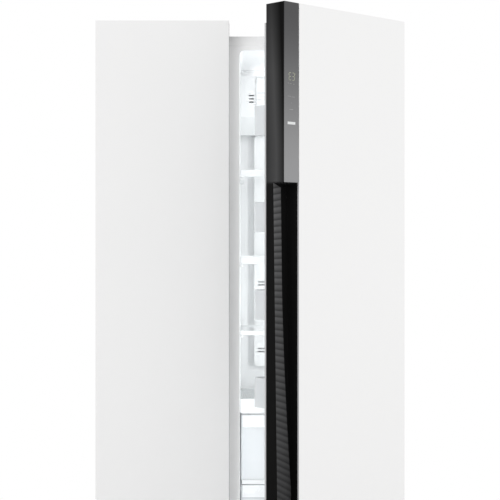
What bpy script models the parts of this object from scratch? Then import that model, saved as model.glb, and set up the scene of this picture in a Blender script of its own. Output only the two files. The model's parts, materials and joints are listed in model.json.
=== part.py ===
"""A free-standing side by side refrigerator with its two doors, drawers and working parts.

X runs to the right, Y to the back, Z up; the sizes are metres. Each piece is placed in the
cabinet's own axes: X = 0 is the middle of the cabinet, Y = 0 the plane that the door seals press
on, Z = 0 the floor. An empty shifts the whole so that the origin is the middle of its footprint.
"""

import math

import bmesh
import bpy
from mathutils import Matrix, Vector

# Overall sizes
WIDTH = 0.911
CABINET_TOP = 1.751
CABINET_DEPTH = 0.568
SKIRT_BOTTOM = 0.015
CABINET_FLOOR = 0.045
DOOR_RISE = 0.035
DOOR_ABOVE_FLOOR = 0.005
DOOR_THICK = 0.070
SEAL_GAP = 0.012
DOOR_GAP = 0.004
LEFT_DOOR_WIDTH = 0.3975

# Clearances
GAP = 0.0003
RUNNING = 0.0005
SLIDING = 0.004

# Hinges and how the doors stand
HINGE_FROM_SIDE = 0.025
HINGE_FROM_FRONT = 0.028
RIGHT_DOOR_OPEN = math.radians(43.6)
PIN_RADIUS = 0.005
PIN_LENGTH = 0.022
NECK_HALF = 0.008
HINGE_PLATE = 0.004
HINGE_PLATE_HALF = 0.020
HINGE_SHOULDER = 0.012
HINGE_PLATE_BACK = 0.070
POCKET_LIP = 0.006
POCKET_INBOARD = 0.035
POCKET_FLOOR_DROP = 0.001
COVER_WALL = 0.002
COVER_HEIGHT = 0.032
COVER_FRONT = 0.003
COVER_BACK_CLEARANCE = 0.006
HOUSING_INBOARD = 0.045
WIRE_STRIP = 0.003
WIRE_STRIP_DEPTH = 0.034
BRACKET = 0.003
BRACKET_OVERHANG = 0.012
WASHER = 0.002

# Cabinet walls
SHEET = 0.001
RIM = 0.006
LINER = 0.002
SIDE_WALL = 0.045
TOP_WALL = 0.041
FLOOR_WALL = 0.070
BACK_WALL = 0.078
MULLION_WIDTH = 0.058
CORNER = 0.015

# Machine compartment, with the step that it makes in both liners
STEP_HEIGHT = 0.275
STEP_DEPTH = 0.253
STEP_WALL = 0.030
STEP_FOAM = 0.005
REAR_COVER_RECESS = 0.010

# Fridge side; the shelves and the outlets are at shares of the height that is left for them
BIN_TO_SHELF = 0.020
SHELF_TO_BACK = 0.040
GLASS = 0.004
SHELF_PLAY = 0.001
TRIM_DEPTH = 0.012
FRIDGE_SHELF_SHARES = (0.6673, 0.4159, 0.1981)
FRIDGE_TRIM_HEIGHTS = (0.021, 0.025, 0.013)
CRISPER_COVER_TOP = 0.640
CRISPER_TRIM_HEIGHT = 0.045
UPPER_CRISPER = (0.388, 0.590)
LOWER_CRISPER = (0.130, 0.372)
DUCT_HEAD_FROM_TOP = 0.029
DUCT_HEAD_HEIGHT = 0.192
DUCT_HEAD_SLOPE = (0.045, 0.058)
DUCT_HEAD_DEPTH = 0.090
DUCT_WALL = 0.002
COLUMN_ABOVE_COVER = 0.072
COLUMN_DEPTH = 0.025
COLUMN_MARGIN = 0.046
COLUMN_SLOT = (0.080, 0.004, 0.010)
COLUMN_SLOT_INSET = 0.012
COLUMN_SLOT_SHARES = (0.695, 0.351, 0.062)
LAMP_FROM_HEAD_TOP = 0.005
LAMP_HEIGHT = 0.115
LAMP_MARGIN = 0.052
LAMP_THICK = 0.006
LAMP_SLOT = (0.050, 0.004, 0.0108)
LAMP_SLOT_INSET = 0.004
LAMP_SLOTS_DROP = 0.076
HEAD_SLOT = (0.0165, 0.004, 0.0108)
HEAD_SLOT_INSET = 0.028
HEAD_SLOTS_DROP = 0.088
DAMPER = (0.080, 0.046, 0.002)
DAMPER_SETBACK = 0.028
DAMPER_RISE = 0.030
DAMPER_PIN = 0.0015
LUG_THICK = 0.002
LUG_REACH = 0.006

# Freezer side
FREEZER_SHELF_SHARES = (0.6449, 0.3224)
FREEZER_COVER_TOP = 0.640
FREEZER_TRIM_HEIGHT = 0.020
UPPER_FREEZER_DRAWER = (0.388, 0.600)
LOWER_FREEZER_DRAWER = (0.130, 0.372)
DUCT_COVER_FROM_BACK = 0.060
DUCT_COVER_THICK = 0.003
DUCT_COVER_MARGIN = 0.012
COVER_SLOT = (0.180, 0.006, 0.014)
COVER_SLOT_SHARES = (0.892, 0.526, 0.328)
EVAPORATOR_FAN_SHARE = 0.7087

# Drawers
DRAWER_WALL = 0.0025
DRAWER_FRONT = 0.014
DRAWER_SETBACK = 0.001
PULL_HEIGHT = 0.024
PULL_MARGIN = 0.030
PULL_WALL = 0.004
DRAWER_BACK_CLEARANCE = 0.007
DEEP_DRAWER_CLEARANCE = 0.010
RIB = (0.006, 0.006)
RIB_INSET = 0.025

# Doors
DOOR_SHEET = 0.001
TOP_CAP = 0.064
BOTTOM_CAP = 0.032
DYKE_HEIGHT = 0.030
DYKE_WIDTH = 0.016
DYKE_CLEARANCE = 0.012
DOOR_LINER = 0.0015
SEAL_WIDTH = 0.018
SEAL_FREE_INSET = 0.003
SEAL_BEHIND_PIN = 0.002
SEAL_END_OVERLAP = 0.025
BIN_REACH = 0.095
BIN_WALL = 0.0025
BIN_HEIGHT = 0.085
RIGHT_BIN_SHARES = (0.3386, 0.4953, 0.6520, 0.8245)
LEFT_BIN_SHARES = (0.3668, 0.5799, 0.7994)

# Free edge of the right door: control strip above, open grip channel below
STRIP_WIDTH = 0.056
STRIP_BOTTOM = 1.290
STRIP_THICK = 0.0022
CHANNEL_TOP_DEPTH = 0.0455
CHANNEL_SLOPE = 0.0175
EDGE_WALL = 0.0025
EDGE_RETURN = 0.007
GRIP_THICK = 0.0012
GRIP_TOP_WIDTH = 0.030
GRIP_MARGIN = 0.001
GRIP_END_CLEARANCE = 0.002
GRIP_SWEEP_TOP = 1.000
GRIP_SWEEP_BOTTOM = 0.440
GRIP_SWEEP_STEPS = 6
GRIP_SWEEP_POWER = 1.6
GRIP_END_SLANT = 0.012

# Free edge of the left door, with a finger groove in its side
LEFT_EDGE_WIDTH = 0.020
LEFT_RETURN = 0.006
GROOVE = (0.030, 0.055)
GROOVE_DEPTH = 0.014
GROOVE_ENDS = (0.300, 1.299)

# Machinery
FOOT_PAD = (0.019, 0.008)
FOOT_STEM = 0.005
FOOT_FROM_SIDE = 0.060
FOOT_FROM_FRONT = 0.060
ROLLER_RADIUS = 0.018
ROLLER_WIDTH = 0.016
ROLLER_FROM_SIDE = 0.050
ROLLER_FROM_BACK = 0.060
AXLE_RADIUS = 0.004
FORK = 0.003
FORK_HALF = 0.012
FORK_DROP = 0.009
COMPRESSOR_X = -0.270
COMPRESSOR_RADIUS = 0.076
COMPRESSOR_HEIGHT = 0.165
COMPRESSOR_FEET = (0.085, 0.058)
FOOT_MARGIN = 0.015
MOUNT_RADIUS = 0.012
MOUNT_HEIGHT = 0.018
FAN_X = -0.105
FAN_RADIUS = 0.070
FAN_CLEARANCE = 0.006
SHAFT_RADIUS = 0.003
MOTOR_SETBACK = 0.030
SHROUD_CLEARANCE = 0.005
SMALL_FAN_RADIUS = 0.050
CONDENSER_X = (-0.020, 0.250)
CONDENSER_TUBE = 0.003
CONDENSER_RUNS = 6
CONDENSER_RISE = 0.020
CONDENSER_DROP = 0.025
STRAP = (0.012, 0.004)
STRAP_INSET = 0.050
PAN_HEIGHT = 0.030
PAN_MARGIN = 0.022
PAN_CLEARANCE = 0.020
GLAND_FROM_SIDE = 0.055
GLAND_DROP = 0.035
GLAND_RADIUS = 0.010
GLAND_COLLAR = 0.004
LEAD_RADIUS = 0.004
TOE_DEPTH = 0.020
TOE_CLEARANCE = 0.012
TOE_FROM_HINGE = 0.012
TOE_SLOT = (0.050, 0.004, 0.010)
TOE_SLOT_RISE = 0.010
TOE_SLOT_MARGIN = 0.080
TOE_SLOT_COLUMNS = 10
REAR_SLOT = (0.060, 0.008, 0.024)
REAR_SLOT_RISE = 0.045
REAR_SLOT_MARGIN = 0.100
REAR_SLOT_GRID = (6, 6)
EVAPORATOR_TUBE = 0.004
EVAPORATOR_MARGIN = 0.040
EVAPORATOR_RUNS = 5
EVAPORATOR_PITCH = 0.060
EVAPORATOR_BOTTOM = 0.380
FIN_DEPTH = 0.040
FIN_THICK = 0.002
FIN_OVERHANG = 0.015
FIN_END = 0.010
FIN_COUNT = 5

# Places that follow from the sizes above
HALF = WIDTH / 2
DOOR_TOP = CABINET_TOP + DOOR_RISE
DOOR_BOTTOM = CABINET_FLOOR + DOOR_ABOVE_FLOOR
DOOR_BACK = -SEAL_GAP
DOOR_FRONT = DOOR_BACK - DOOR_THICK
LEFT_FREE = -HALF + LEFT_DOOR_WIDTH
RIGHT_FREE = LEFT_FREE + DOOR_GAP
MULLION_X = (LEFT_FREE + RIGHT_FREE) / 2
FRIDGE_X = (MULLION_X + MULLION_WIDTH / 2, HALF - SIDE_WALL)
FREEZER_X = (-HALF + SIDE_WALL, MULLION_X - MULLION_WIDTH / 2)
ROOM_Z = (CABINET_FLOOR + FLOOR_WALL, CABINET_TOP - TOP_WALL)
ROOM_BACK = CABINET_DEPTH - BACK_WALL
STEP_TOP = CABINET_FLOOR + STEP_HEIGHT
STEP_FRONT = CABINET_DEPTH - STEP_DEPTH
MACHINE_FRONT = STEP_FRONT + STEP_WALL
MACHINE_TOP = STEP_TOP - STEP_WALL - STEP_FOAM
FRIDGE_MIDDLE = sum(FRIDGE_X) / 2
FREEZER_MIDDLE = sum(FREEZER_X) / 2
HINGE_Y = DOOR_FRONT + HINGE_FROM_FRONT
RIGHT_HINGE = Vector((HALF - HINGE_FROM_SIDE, HINGE_Y, 0))
LEFT_HINGE = Vector((-HALF + HINGE_FROM_SIDE, HINGE_Y, 0))
INNER_SIDE = HALF - SHEET - GAP
BACK_SHEET_FRONT = CABINET_DEPTH - SHEET - GAP
REAR_COVER_BACK = CABINET_DEPTH - REAR_COVER_RECESS
COVER_BACK = ROOM_BACK - DUCT_COVER_FROM_BACK
HINGE_PLATE_BOTTOM = CABINET_TOP + GAP
LINER_SEAT = DOOR_BACK - DOOR_LINER - GAP * 2
POCKET_FLOOR = CABINET_TOP - POCKET_FLOOR_DROP
MACHINE_Y = (MACHINE_FRONT + REAR_COVER_BACK) / 2
SHELF_FRONT = BIN_REACH + BIN_TO_SHELF
SHELF_DEPTH = ROOM_BACK - SHELF_TO_BACK - SHELF_FRONT
DUCT_HEAD = (ROOM_Z[1] - DUCT_HEAD_FROM_TOP - DUCT_HEAD_HEIGHT, ROOM_Z[1] - DUCT_HEAD_FROM_TOP)
COLUMN_Z = (CRISPER_COVER_TOP + COLUMN_ABOVE_COVER, DUCT_HEAD[0] - GAP * 2)
DUCT_COVER_Z = (STEP_TOP + DUCT_COVER_MARGIN, ROOM_Z[1] - DUCT_COVER_MARGIN)


def levels(span, shares):
    """Heights at shares of the way up a span."""
    return [span[0] + share * (span[1] - span[0]) for share in shares]


FRIDGE_SHELF_TOPS = levels((CRISPER_COVER_TOP, ROOM_Z[1]), FRIDGE_SHELF_SHARES)
FREEZER_SHELF_TOPS = levels((FREEZER_COVER_TOP, ROOM_Z[1]), FREEZER_SHELF_SHARES)
RIGHT_BIN_FLOORS = levels(ROOM_Z, RIGHT_BIN_SHARES)
LEFT_BIN_FLOORS = levels(ROOM_Z, LEFT_BIN_SHARES)
EVAPORATOR_FAN_Z = levels(DUCT_COVER_Z, [EVAPORATOR_FAN_SHARE])[0]

WHITE = ("door_white", (0.87, 0.87, 0.87), 0.0, 0.35)
CABINET_GREY = ("cabinet_grey", (0.48, 0.48, 0.48), 0.2, 0.45)
RIM_GREY = ("rim_grey", (0.52, 0.52, 0.52), 0.0, 0.5)
LINER_WHITE = ("liner_white", (0.88, 0.91, 0.93), 0.0, 0.35)
SEAL_GREY = ("seal_grey", (0.55, 0.55, 0.55), 0.0, 0.7)
GLOSS_BLACK = ("gloss_black", (0.012, 0.012, 0.013), 0.0, 0.2)
STRIP_GREY = ("strip_grey", (0.14, 0.14, 0.145), 0.0, 0.25)
GRIP_GREY = ("grip_grey", (0.07, 0.07, 0.072), 0.0, 0.55)
CLEAR = ("clear_glass", (0.80, 0.88, 0.88), 0.0, 0.1)
DRAWER_CLEAR = ("drawer_clear", (0.80, 0.84, 0.87), 0.0, 0.2)
FOAM = ("foam", (0.80, 0.70, 0.42), 0.0, 0.9)
STEEL = ("zinc_steel", (0.62, 0.63, 0.64), 1.0, 0.4)
ALUMINIUM = ("aluminium", (0.75, 0.76, 0.77), 1.0, 0.35)
BLACK_PAINT = ("black_paint", (0.02, 0.02, 0.02), 0.0, 0.4)
BLACK_PLASTIC = ("black_plastic", (0.03, 0.03, 0.03), 0.0, 0.6)
LAMP_WHITE = ("lamp_white", (0.95, 0.95, 0.92), 0.0, 0.3)


# ---------------------------------------------------------------- scene and groups


def clear_scene():
    for obj in list(bpy.data.objects):
        bpy.data.objects.remove(obj, do_unlink=True)


def collection(name):
    made = bpy.data.collections.new(name)
    bpy.context.scene.collection.children.link(made)
    return made


clear_scene()
PARTS = collection("side_by_side_refrigerator")
CUTTERS = collection("cutters")


def surface(look):
    """The Principled material of a look, made the first time that it is used."""
    name, colour, metallic, roughness = look
    made = bpy.data.materials.get(name)
    if made is None:
        made = bpy.data.materials.new(name)
        made.use_nodes = True
        shader = made.node_tree.nodes["Principled BSDF"]
        shader.inputs["Base Color"].default_value = (*colour, 1.0)
        shader.inputs["Metallic"].default_value = metallic
        shader.inputs["Roughness"].default_value = roughness
    return made


class Group:
    """An empty that pieces hang on; they are given in the cabinet's axes with the doors shut."""

    def __init__(self, name, origin, parent=None, turn=0.0, at=None):
        self.origin = Vector(origin)
        self.empty = bpy.data.objects.new(name, None)
        PARTS.objects.link(self.empty)
        self.empty.location = self.origin if at is None else at
        self.empty.rotation_euler.z = turn
        if parent:
            self.empty.parent = parent.empty
            self.empty.location = self.origin - parent.origin

    def take(self, obj):
        obj.parent = self.empty
        obj.location = obj.location - self.origin
        return obj


def footprint_shift():
    """From the cabinet's middle to the middle of the footprint, with the right door open."""
    turn = Matrix.Rotation(RIGHT_DOOR_OPEN, 3, "Z")
    corners = [
        RIGHT_HINGE + turn @ (Vector((x, y, 0)) - RIGHT_HINGE)
        for x in (RIGHT_FREE, HALF)
        for y in (DOOR_FRONT, DOOR_BACK)
    ]
    right = max(HALF, max(corner.x for corner in corners))
    front = min(DOOR_FRONT, min(corner.y for corner in corners))
    return Vector((-(right - HALF) / 2, -(front + CABINET_DEPTH) / 2, 0))


CABINET = Group("cabinet_origin", (0, 0, 0), at=footprint_shift())
RIGHT_DOOR = Group("right_door_hinge_axis", RIGHT_HINGE, CABINET, turn=RIGHT_DOOR_OPEN)
LEFT_DOOR = Group("left_door_hinge_axis", LEFT_HINGE, CABINET)


# ---------------------------------------------------------------- shapes


def add(name, mesh, at, group, look):
    """A piece in the parts collection, or a cutter where there is no look."""
    obj = bpy.data.objects.new(name, mesh)
    (PARTS if look else CUTTERS).objects.link(obj)
    obj.location = at
    if look:
        mesh.materials.append(surface(look))
    else:
        obj.hide_render = True
        obj.display_type = "WIRE"
    return group.take(obj)


def mesh_of(name, work):
    mesh = bpy.data.meshes.new(name)
    work.to_mesh(mesh)
    work.free()
    return mesh


def blocks(name, spans, group=CABINET, look=None, origin=None):
    """One or more boxes, each given as ((x0, x1), (y0, y1), (z0, z1)), in one mesh."""
    first = Vector([sum(pair) / 2 for pair in spans[0]])
    origin = first if origin is None else Vector(origin)
    work = bmesh.new()
    for span in spans:
        size = [pair[1] - pair[0] for pair in span]
        middle = Vector([sum(pair) / 2 for pair in span]) - origin
        place = Matrix.Translation(middle) @ Matrix.Diagonal((*size, 1))
        bmesh.ops.create_cube(work, size=1, matrix=place)
    return add(name, mesh_of(name, work), origin, group, look)


def block(name, x, y, z, group=CABINET, look=None, origin=None):
    return blocks(name, [(x, y, z)], group, look, origin)


SIDES = {"front": (0, -1, 0), "back": (0, 1, 0), "top": (0, 0, 1), "bottom": (0, 0, -1)}


def tray(name, x, y, z, wall, open_sides, group=CABINET, look=None):
    """A box without some of its faces, given a wall inwards."""
    obj = block(name, x, y, z, group, look)
    work = bmesh.new()
    work.from_mesh(obj.data)
    gone = [
        face
        for face in work.faces
        for side in open_sides
        if face.normal.dot(Vector(SIDES[side])) > 0.9
    ]
    bmesh.ops.delete(work, geom=gone, context="FACES")
    work.to_mesh(obj.data)
    work.free()
    shell = obj.modifiers.new("wall", "SOLIDIFY")
    shell.thickness = wall
    shell.offset = -1
    shell.use_even_offset = True
    return obj


def pipe_between(name, start, end, radius, group=CABINET, look=None, sides=16, origin=None):
    """A round bar from one point to another."""
    start, end = Vector(start), Vector(end)
    origin = (start + end) / 2 if origin is None else Vector(origin)
    turn = (end - start).to_track_quat("Z", "Y").to_matrix().to_4x4()
    place = Matrix.Translation((start + end) / 2 - origin) @ turn
    work = bmesh.new()
    bmesh.ops.create_cone(
        work,
        cap_ends=True,
        segments=sides,
        radius1=radius,
        radius2=radius,
        depth=(end - start).length,
        matrix=place,
    )
    return add(name, mesh_of(name, work), origin, group, look)


AXIS_TURNS = {
    "X": (math.radians(90), 0, math.radians(90)),
    "Y": (math.radians(90), 0, 0),
    "Z": (0, 0, 0),
}


def plate(name, outlines, span, axis, group=CABINET, look=None):
    """A flat outline, with any holes, given thickness over a span along an axis.

    The outline is (y, z) along X, (x, z) along Y and (x, y) along Z.
    """
    curve = bpy.data.curves.new(name, "CURVE")
    curve.dimensions = "2D"
    curve.fill_mode = "BOTH"
    curve.extrude = (span[1] - span[0]) / 2
    for outline in outlines:
        spline = curve.splines.new("POLY")
        spline.points.add(len(outline) - 1)
        for point, (across, up) in zip(spline.points, outline):
            point.co = (across, up, 0, 1)
        spline.use_cyclic_u = True
    shape = bpy.data.objects.new(name, curve)
    bpy.context.scene.collection.objects.link(shape)
    shape.rotation_euler = AXIS_TURNS[axis]
    middle = sum(span) / 2
    at = {"X": (middle, 0, 0), "Y": (0, middle, 0), "Z": (0, 0, middle)}[axis]
    made = as_mesh(shape, name)
    made.transform(Matrix(shape.matrix_world.to_3x3()).to_4x4())
    bpy.data.objects.remove(shape)
    return add(name, made, at, group, look)


def as_mesh(shape, name):
    """The mesh of a curve, with its caps welded on."""
    graph = bpy.context.evaluated_depsgraph_get()
    made = bpy.data.meshes.new_from_object(shape.evaluated_get(graph))
    made.name = name
    work = bmesh.new()
    work.from_mesh(made)
    bmesh.ops.remove_doubles(work, verts=work.verts, dist=0.00001)
    bmesh.ops.recalc_face_normals(work, faces=work.faces)
    work.to_mesh(made)
    work.free()
    return made


def tube(name, points, radius, group=CABINET, look=None):
    """A bent tube through points, as a mesh, so that other shapes can be joined to it."""
    curve = bpy.data.curves.new(name, "CURVE")
    curve.dimensions = "3D"
    curve.bevel_depth = radius
    curve.bevel_resolution = 2
    curve.use_fill_caps = True
    spline = curve.splines.new("POLY")
    spline.points.add(len(points) - 1)
    for point, place in zip(spline.points, points):
        point.co = (*place, 1)
    shape = bpy.data.objects.new(name, curve)
    bpy.context.scene.collection.objects.link(shape)
    made = as_mesh(shape, name)
    bpy.data.objects.remove(shape)
    return add(name, made, (0, 0, 0), group, look)


def turned(name, profile, at, group=CABINET, look=None, sides=24):
    """A body of revolution about Z; the profile runs from its top to its bottom."""
    mesh = bpy.data.meshes.new(name)
    points = [(radius, 0, height) for radius, height in profile]
    mesh.from_pydata(points, [(i, i + 1) for i in range(len(points) - 1)], [])
    obj = add(name, mesh, at, group, look)
    spin = obj.modifiers.new("turn", "SCREW")
    spin.steps = sides
    spin.render_steps = sides
    spin.use_merge_vertices = True
    spin.merge_threshold = 0.0001
    return obj


def boolean(obj, other, operation):
    step = obj.modifiers.new(operation.lower(), "BOOLEAN")
    step.operation = operation
    step.object = other
    step.solver = "EXACT"


def cut(obj, *cutters):
    for cutter in cutters:
        boolean(obj, cutter, "DIFFERENCE")
    return obj


def join(obj, *others):
    for other in others:
        boolean(obj, other, "UNION")
    return obj


def soften(obj, width, segments=1):
    """Round the edges of a box-like piece."""
    edge = obj.modifiers.new("edges", "BEVEL")
    edge.width = width
    edge.segments = segments
    edge.limit_method = "ANGLE"
    return obj


def rounded(across, up, radius, steps=4):
    """The outline of a rectangle with round corners."""
    corners = [
        (across[1], up[1], 0),
        (across[0], up[1], 90),
        (across[0], up[0], 180),
        (across[1], up[0], 270),
    ]
    outline = []
    for x, z, start in corners:
        middle = (x - math.copysign(radius, x - sum(across) / 2),
                  z - math.copysign(radius, z - sum(up) / 2))
        for step in range(steps + 1):
            angle = math.radians(start + 90 * step / steps)
            outline.append((middle[0] + radius * math.cos(angle),
                            middle[1] + radius * math.sin(angle)))
    return outline


def grown(pair, amount):
    return (pair[0] - amount, pair[1] + amount)


def spread(pair, count):
    """Evenly spaced places from one end of a span to the other."""
    return [pair[0] + index * (pair[1] - pair[0]) / (count - 1) for index in range(count)]


# ---------------------------------------------------------------- cabinet


def room(name, across, grow, front, look=None):
    """The stepped, round-cornered inside of one compartment, grown by an amount on every side."""
    outline = rounded(grown(across, grow), grown(ROOM_Z, grow), CORNER + grow)
    back = ROOM_BACK + grow
    body = plate(name, [outline], (front, back), "Y", look=look)
    step = block(
        name + "_step",
        grown(across, grow + 0.02),
        (STEP_FRONT + grow, back + 0.02),
        (ROOM_Z[0] - grow - 0.02, STEP_TOP - grow),
    )
    return cut(body, step)


def rib_spans(across, tops):
    """Ribs on both side walls under shelves whose undersides are given."""
    reach, height = RIB
    along = grown((SHELF_FRONT, SHELF_FRONT + SHELF_DEPTH), -RIB_INSET)
    left = (across[0] - LINER / 2, across[0] + reach)
    right = (across[1] - reach, across[1] + LINER / 2)
    return [(x, along, (top - height - GAP, top - GAP)) for top in tops for x in (left, right)]


def liner(name, across, rib_tops):
    shell = room(name, across, LINER, RIM + GAP, LINER_WHITE)
    cut(shell, room(name + "_inside", across, 0, -0.01))
    ribs = blocks(name + "_ribs", rib_spans(across, rib_tops))
    return join(shell, ribs)


def outer_cabinet():
    """The folded steel wrap: two sides and the top."""
    tray(
        "outer_cabinet",
        (-HALF, HALF),
        (RIM + GAP, CABINET_DEPTH),
        (SKIRT_BOTTOM, CABINET_TOP),
        SHEET,
        ("front", "back", "bottom"),
        look=CABINET_GREY,
    )


def back_panel():
    block(
        "back_panel",
        (-INNER_SIDE, INNER_SIDE),
        (BACK_SHEET_FRONT, CABINET_DEPTH - GAP),
        (MACHINE_TOP, CABINET_TOP - SHEET - GAP),
        look=CABINET_GREY,
    )


def front_rim():
    """The grey frame around both openings, with the mullion between them."""
    outer = [(-HALF, CABINET_FLOOR), (HALF, CABINET_FLOOR), (HALF, CABINET_TOP), (-HALF, CABINET_TOP)]
    holes = [rounded(across, ROOM_Z, CORNER) for across in (FRIDGE_X, FREEZER_X)]
    plate("front_rim", [outer, *holes], (0, RIM), "Y", look=RIM_GREY)


def cabinet_foam():
    foam = block(
        "cabinet_foam",
        (-INNER_SIDE, INNER_SIDE),
        (RIM + GAP, BACK_SHEET_FRONT - GAP),
        (CABINET_FLOOR + GAP, CABINET_TOP - SHEET - GAP),
        look=FOAM,
    )
    for name, across in (("fridge", FRIDGE_X), ("freezer", FREEZER_X)):
        cut(foam, room(name + "_pocket", across, LINER + GAP, -0.02))
    machine = block(
        "machine_space",
        grown((-HALF, HALF), 0.01),
        (MACHINE_FRONT, CABINET_DEPTH + 0.02),
        (0, MACHINE_TOP),
    )
    return cut(foam, machine)


def base_pan():
    """The pressed steel base under the foam, with forks for the rear rollers."""
    pan = tray(
        "base_pan",
        (-INNER_SIDE, INNER_SIDE),
        (0, REAR_COVER_BACK),
        (SKIRT_BOTTOM, CABINET_FLOOR - GAP),
        BRACKET,
        ("bottom",),
        look=STEEL,
    )
    forks = blocks("roller_forks", [
        (
            (x - FORK / 2, x + FORK / 2),
            grown((roller_y(), roller_y()), FORK_HALF),
            (ROLLER_RADIUS - FORK_DROP, CABINET_FLOOR - GAP - BRACKET / 2),
        )
        for middle in roller_places()
        for x in (middle - fork_offset(), middle + fork_offset())
    ])
    join(pan, forks)
    axle_hole = pipe_between(
        "axle_hole",
        (-HALF, roller_y(), ROLLER_RADIUS),
        (HALF, roller_y(), ROLLER_RADIUS),
        AXLE_RADIUS + RUNNING,
    )
    cut(pan, axle_hole)
    for side, x in foot_places():
        stem_hole = pipe_between(
            f"foot_hole_{side}",
            (x, FOOT_FROM_FRONT, SKIRT_BOTTOM),
            (x, FOOT_FROM_FRONT, CABINET_FLOOR + 0.01),
            FOOT_STEM + RUNNING,
        )
        cut(pan, stem_hole)


def fork_offset():
    return ROLLER_WIDTH / 2 + FORK / 2 + RUNNING * 2


def roller_y():
    return CABINET_DEPTH - ROLLER_FROM_BACK


def roller_places():
    inset = HALF - ROLLER_FROM_SIDE
    return (-inset, inset)


def foot_places():
    inset = HALF - FOOT_FROM_SIDE
    return (("left", -inset), ("right", inset))


def rear_rollers():
    """Two rollers on one axle bar across the back of the base."""
    reach = HALF - ROLLER_FROM_SIDE + fork_offset() + FORK
    centre = (0, roller_y(), ROLLER_RADIUS)
    axle = pipe_between(
        "rear_rollers", (-reach, *centre[1:]), (reach, *centre[1:]), AXLE_RADIUS, look=BLACK_PLASTIC
    )
    for index, x in enumerate(roller_places()):
        wheel = pipe_between(
            f"roller_{index}",
            (x - ROLLER_WIDTH / 2, *centre[1:]),
            (x + ROLLER_WIDTH / 2, *centre[1:]),
            ROLLER_RADIUS,
            sides=24,
        )
        join(axle, wheel)


def levelling_feet():
    shoulder = CABINET_FLOOR - GAP - BRACKET - GAP
    pad, height = FOOT_PAD
    profile = [
        (0, CABINET_FLOOR - GAP),
        (FOOT_STEM, CABINET_FLOOR - GAP),
        (FOOT_STEM, shoulder),
        (FOOT_STEM * 2, shoulder),
        (FOOT_STEM * 2, shoulder - 0.006),
        (FOOT_STEM * 1.4, shoulder - 0.006),
        (FOOT_STEM * 1.4, height),
        (pad, height * 0.6),
        (pad, 0),
        (0, 0),
    ]
    for side, x in foot_places():
        turned(f"levelling_foot_{side}", profile, (x, FOOT_FROM_FRONT, 0), look=BLACK_PLASTIC)


def toe_grille():
    reach = HALF - HINGE_FROM_SIDE - HINGE_PLATE_HALF - TOE_FROM_HINGE
    depth = (-TOE_DEPTH, -GAP)
    height = (TOE_CLEARANCE, CABINET_FLOOR - COVER_WALL)
    grille = tray(
        "toe_grille", (-reach, reach), depth, height, COVER_WALL, ("back",), look=CABINET_GREY
    )
    width, tall, pitch = TOE_SLOT
    slots = []
    for row in range(2):
        low = height[0] + TOE_SLOT_RISE + row * pitch
        for x in spread(grown((-reach, reach), -TOE_SLOT_MARGIN), TOE_SLOT_COLUMNS):
            slots.append((grown((x, x), width / 2), grown((depth[0], depth[0]), 0.01), (low, low + tall)))
    cut(grille, blocks("toe_slots", slots))


# ---------------------------------------------------------------- hinges


def top_hinge(side, hinge):
    """A flat plate screwed to the cabinet top, with a narrow neck that carries the pin."""
    x, y = hinge.x, hinge.y
    arc = [
        (x + NECK_HALF * math.cos(angle), y + NECK_HALF * math.sin(angle))
        for angle in (math.radians(180 + 30 * step) for step in range(7))
    ]
    neck_end = COVER_FRONT + COVER_WALL + SHELF_PLAY
    outline = arc + [
        (x + NECK_HALF, neck_end),
        (x + HINGE_PLATE_HALF, neck_end + HINGE_SHOULDER),
        (x + HINGE_PLATE_HALF, HINGE_PLATE_BACK),
        (x - HINGE_PLATE_HALF, HINGE_PLATE_BACK),
        (x - HINGE_PLATE_HALF, neck_end + HINGE_SHOULDER),
        (x - NECK_HALF, neck_end),
    ]
    low = HINGE_PLATE_BOTTOM
    hinge_plate = plate(
        f"top_hinge_{side}", [outline], (low, low + HINGE_PLATE), "Z", look=STEEL
    )
    pin = pipe_between(
        f"top_pin_{side}", (x, y, low - PIN_LENGTH), (x, y, low + HINGE_PLATE / 2), PIN_RADIUS
    )
    join(hinge_plate, pin)


def bottom_hinge(side, hinge):
    """An angle bracket on the base, with a pin that carries the door's weight."""
    x, y = hinge.x, hinge.y
    top = DOOR_BOTTOM - GAP - WASHER
    across = (x - HINGE_PLATE_HALF, x + HINGE_PLATE_HALF)
    name = f"bottom_hinge_{side}"
    bracket = block(name, across, (y - BRACKET_OVERHANG, -GAP), (top - BRACKET, top), look=STEEL)
    flange_z = (SKIRT_BOTTOM + BRACKET, top - BRACKET / 2)
    flange = block(name + "_flange", across, (-GAP - BRACKET, -GAP), flange_z)
    foot = (x, y, top - BRACKET / 2)
    shoulder = pipe_between(name + "_shoulder", foot, (x, y, DOOR_BOTTOM - GAP), PIN_RADIUS * 1.8)
    pin = pipe_between(name + "_pin", foot, (x, y, top + PIN_LENGTH), PIN_RADIUS)
    join(bracket, flange, shoulder, pin)


def top_cover():
    """A housing over each hinge plate, with a flat strip over the wiring between them."""
    low = HINGE_PLATE_BOTTOM
    inner = HALF - HINGE_FROM_SIDE - HOUSING_INBOARD
    back = HINGE_PLATE_BACK + COVER_BACK_CLEARANCE
    depth, height = (COVER_FRONT, back), (low, low + COVER_HEIGHT)
    seat = inner + COVER_WALL / 2
    strip_y, strip_z = (back - WIRE_STRIP_DEPTH, back), (low, low + WIRE_STRIP)
    cover = block("top_cover", (-seat, seat), strip_y, strip_z, look=CABINET_GREY)
    for side, across in (("right", (inner, HALF - GAP)), ("left", (GAP - HALF, -inner))):
        join(cover, tray("housing_" + side, across, depth, height, COVER_WALL, ("bottom",)))
    notches = blocks("neck_notches", [
        (
            grown((hinge.x, hinge.x), NECK_HALF + RUNNING),
            (COVER_FRONT - 0.01, COVER_FRONT + COVER_WALL + 0.01),
            (low - 0.01, low + HINGE_PLATE + RUNNING),
        )
        for hinge in (RIGHT_HINGE, LEFT_HINGE)
    ])
    cut(cover, notches)


# ---------------------------------------------------------------- machine compartment


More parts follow.
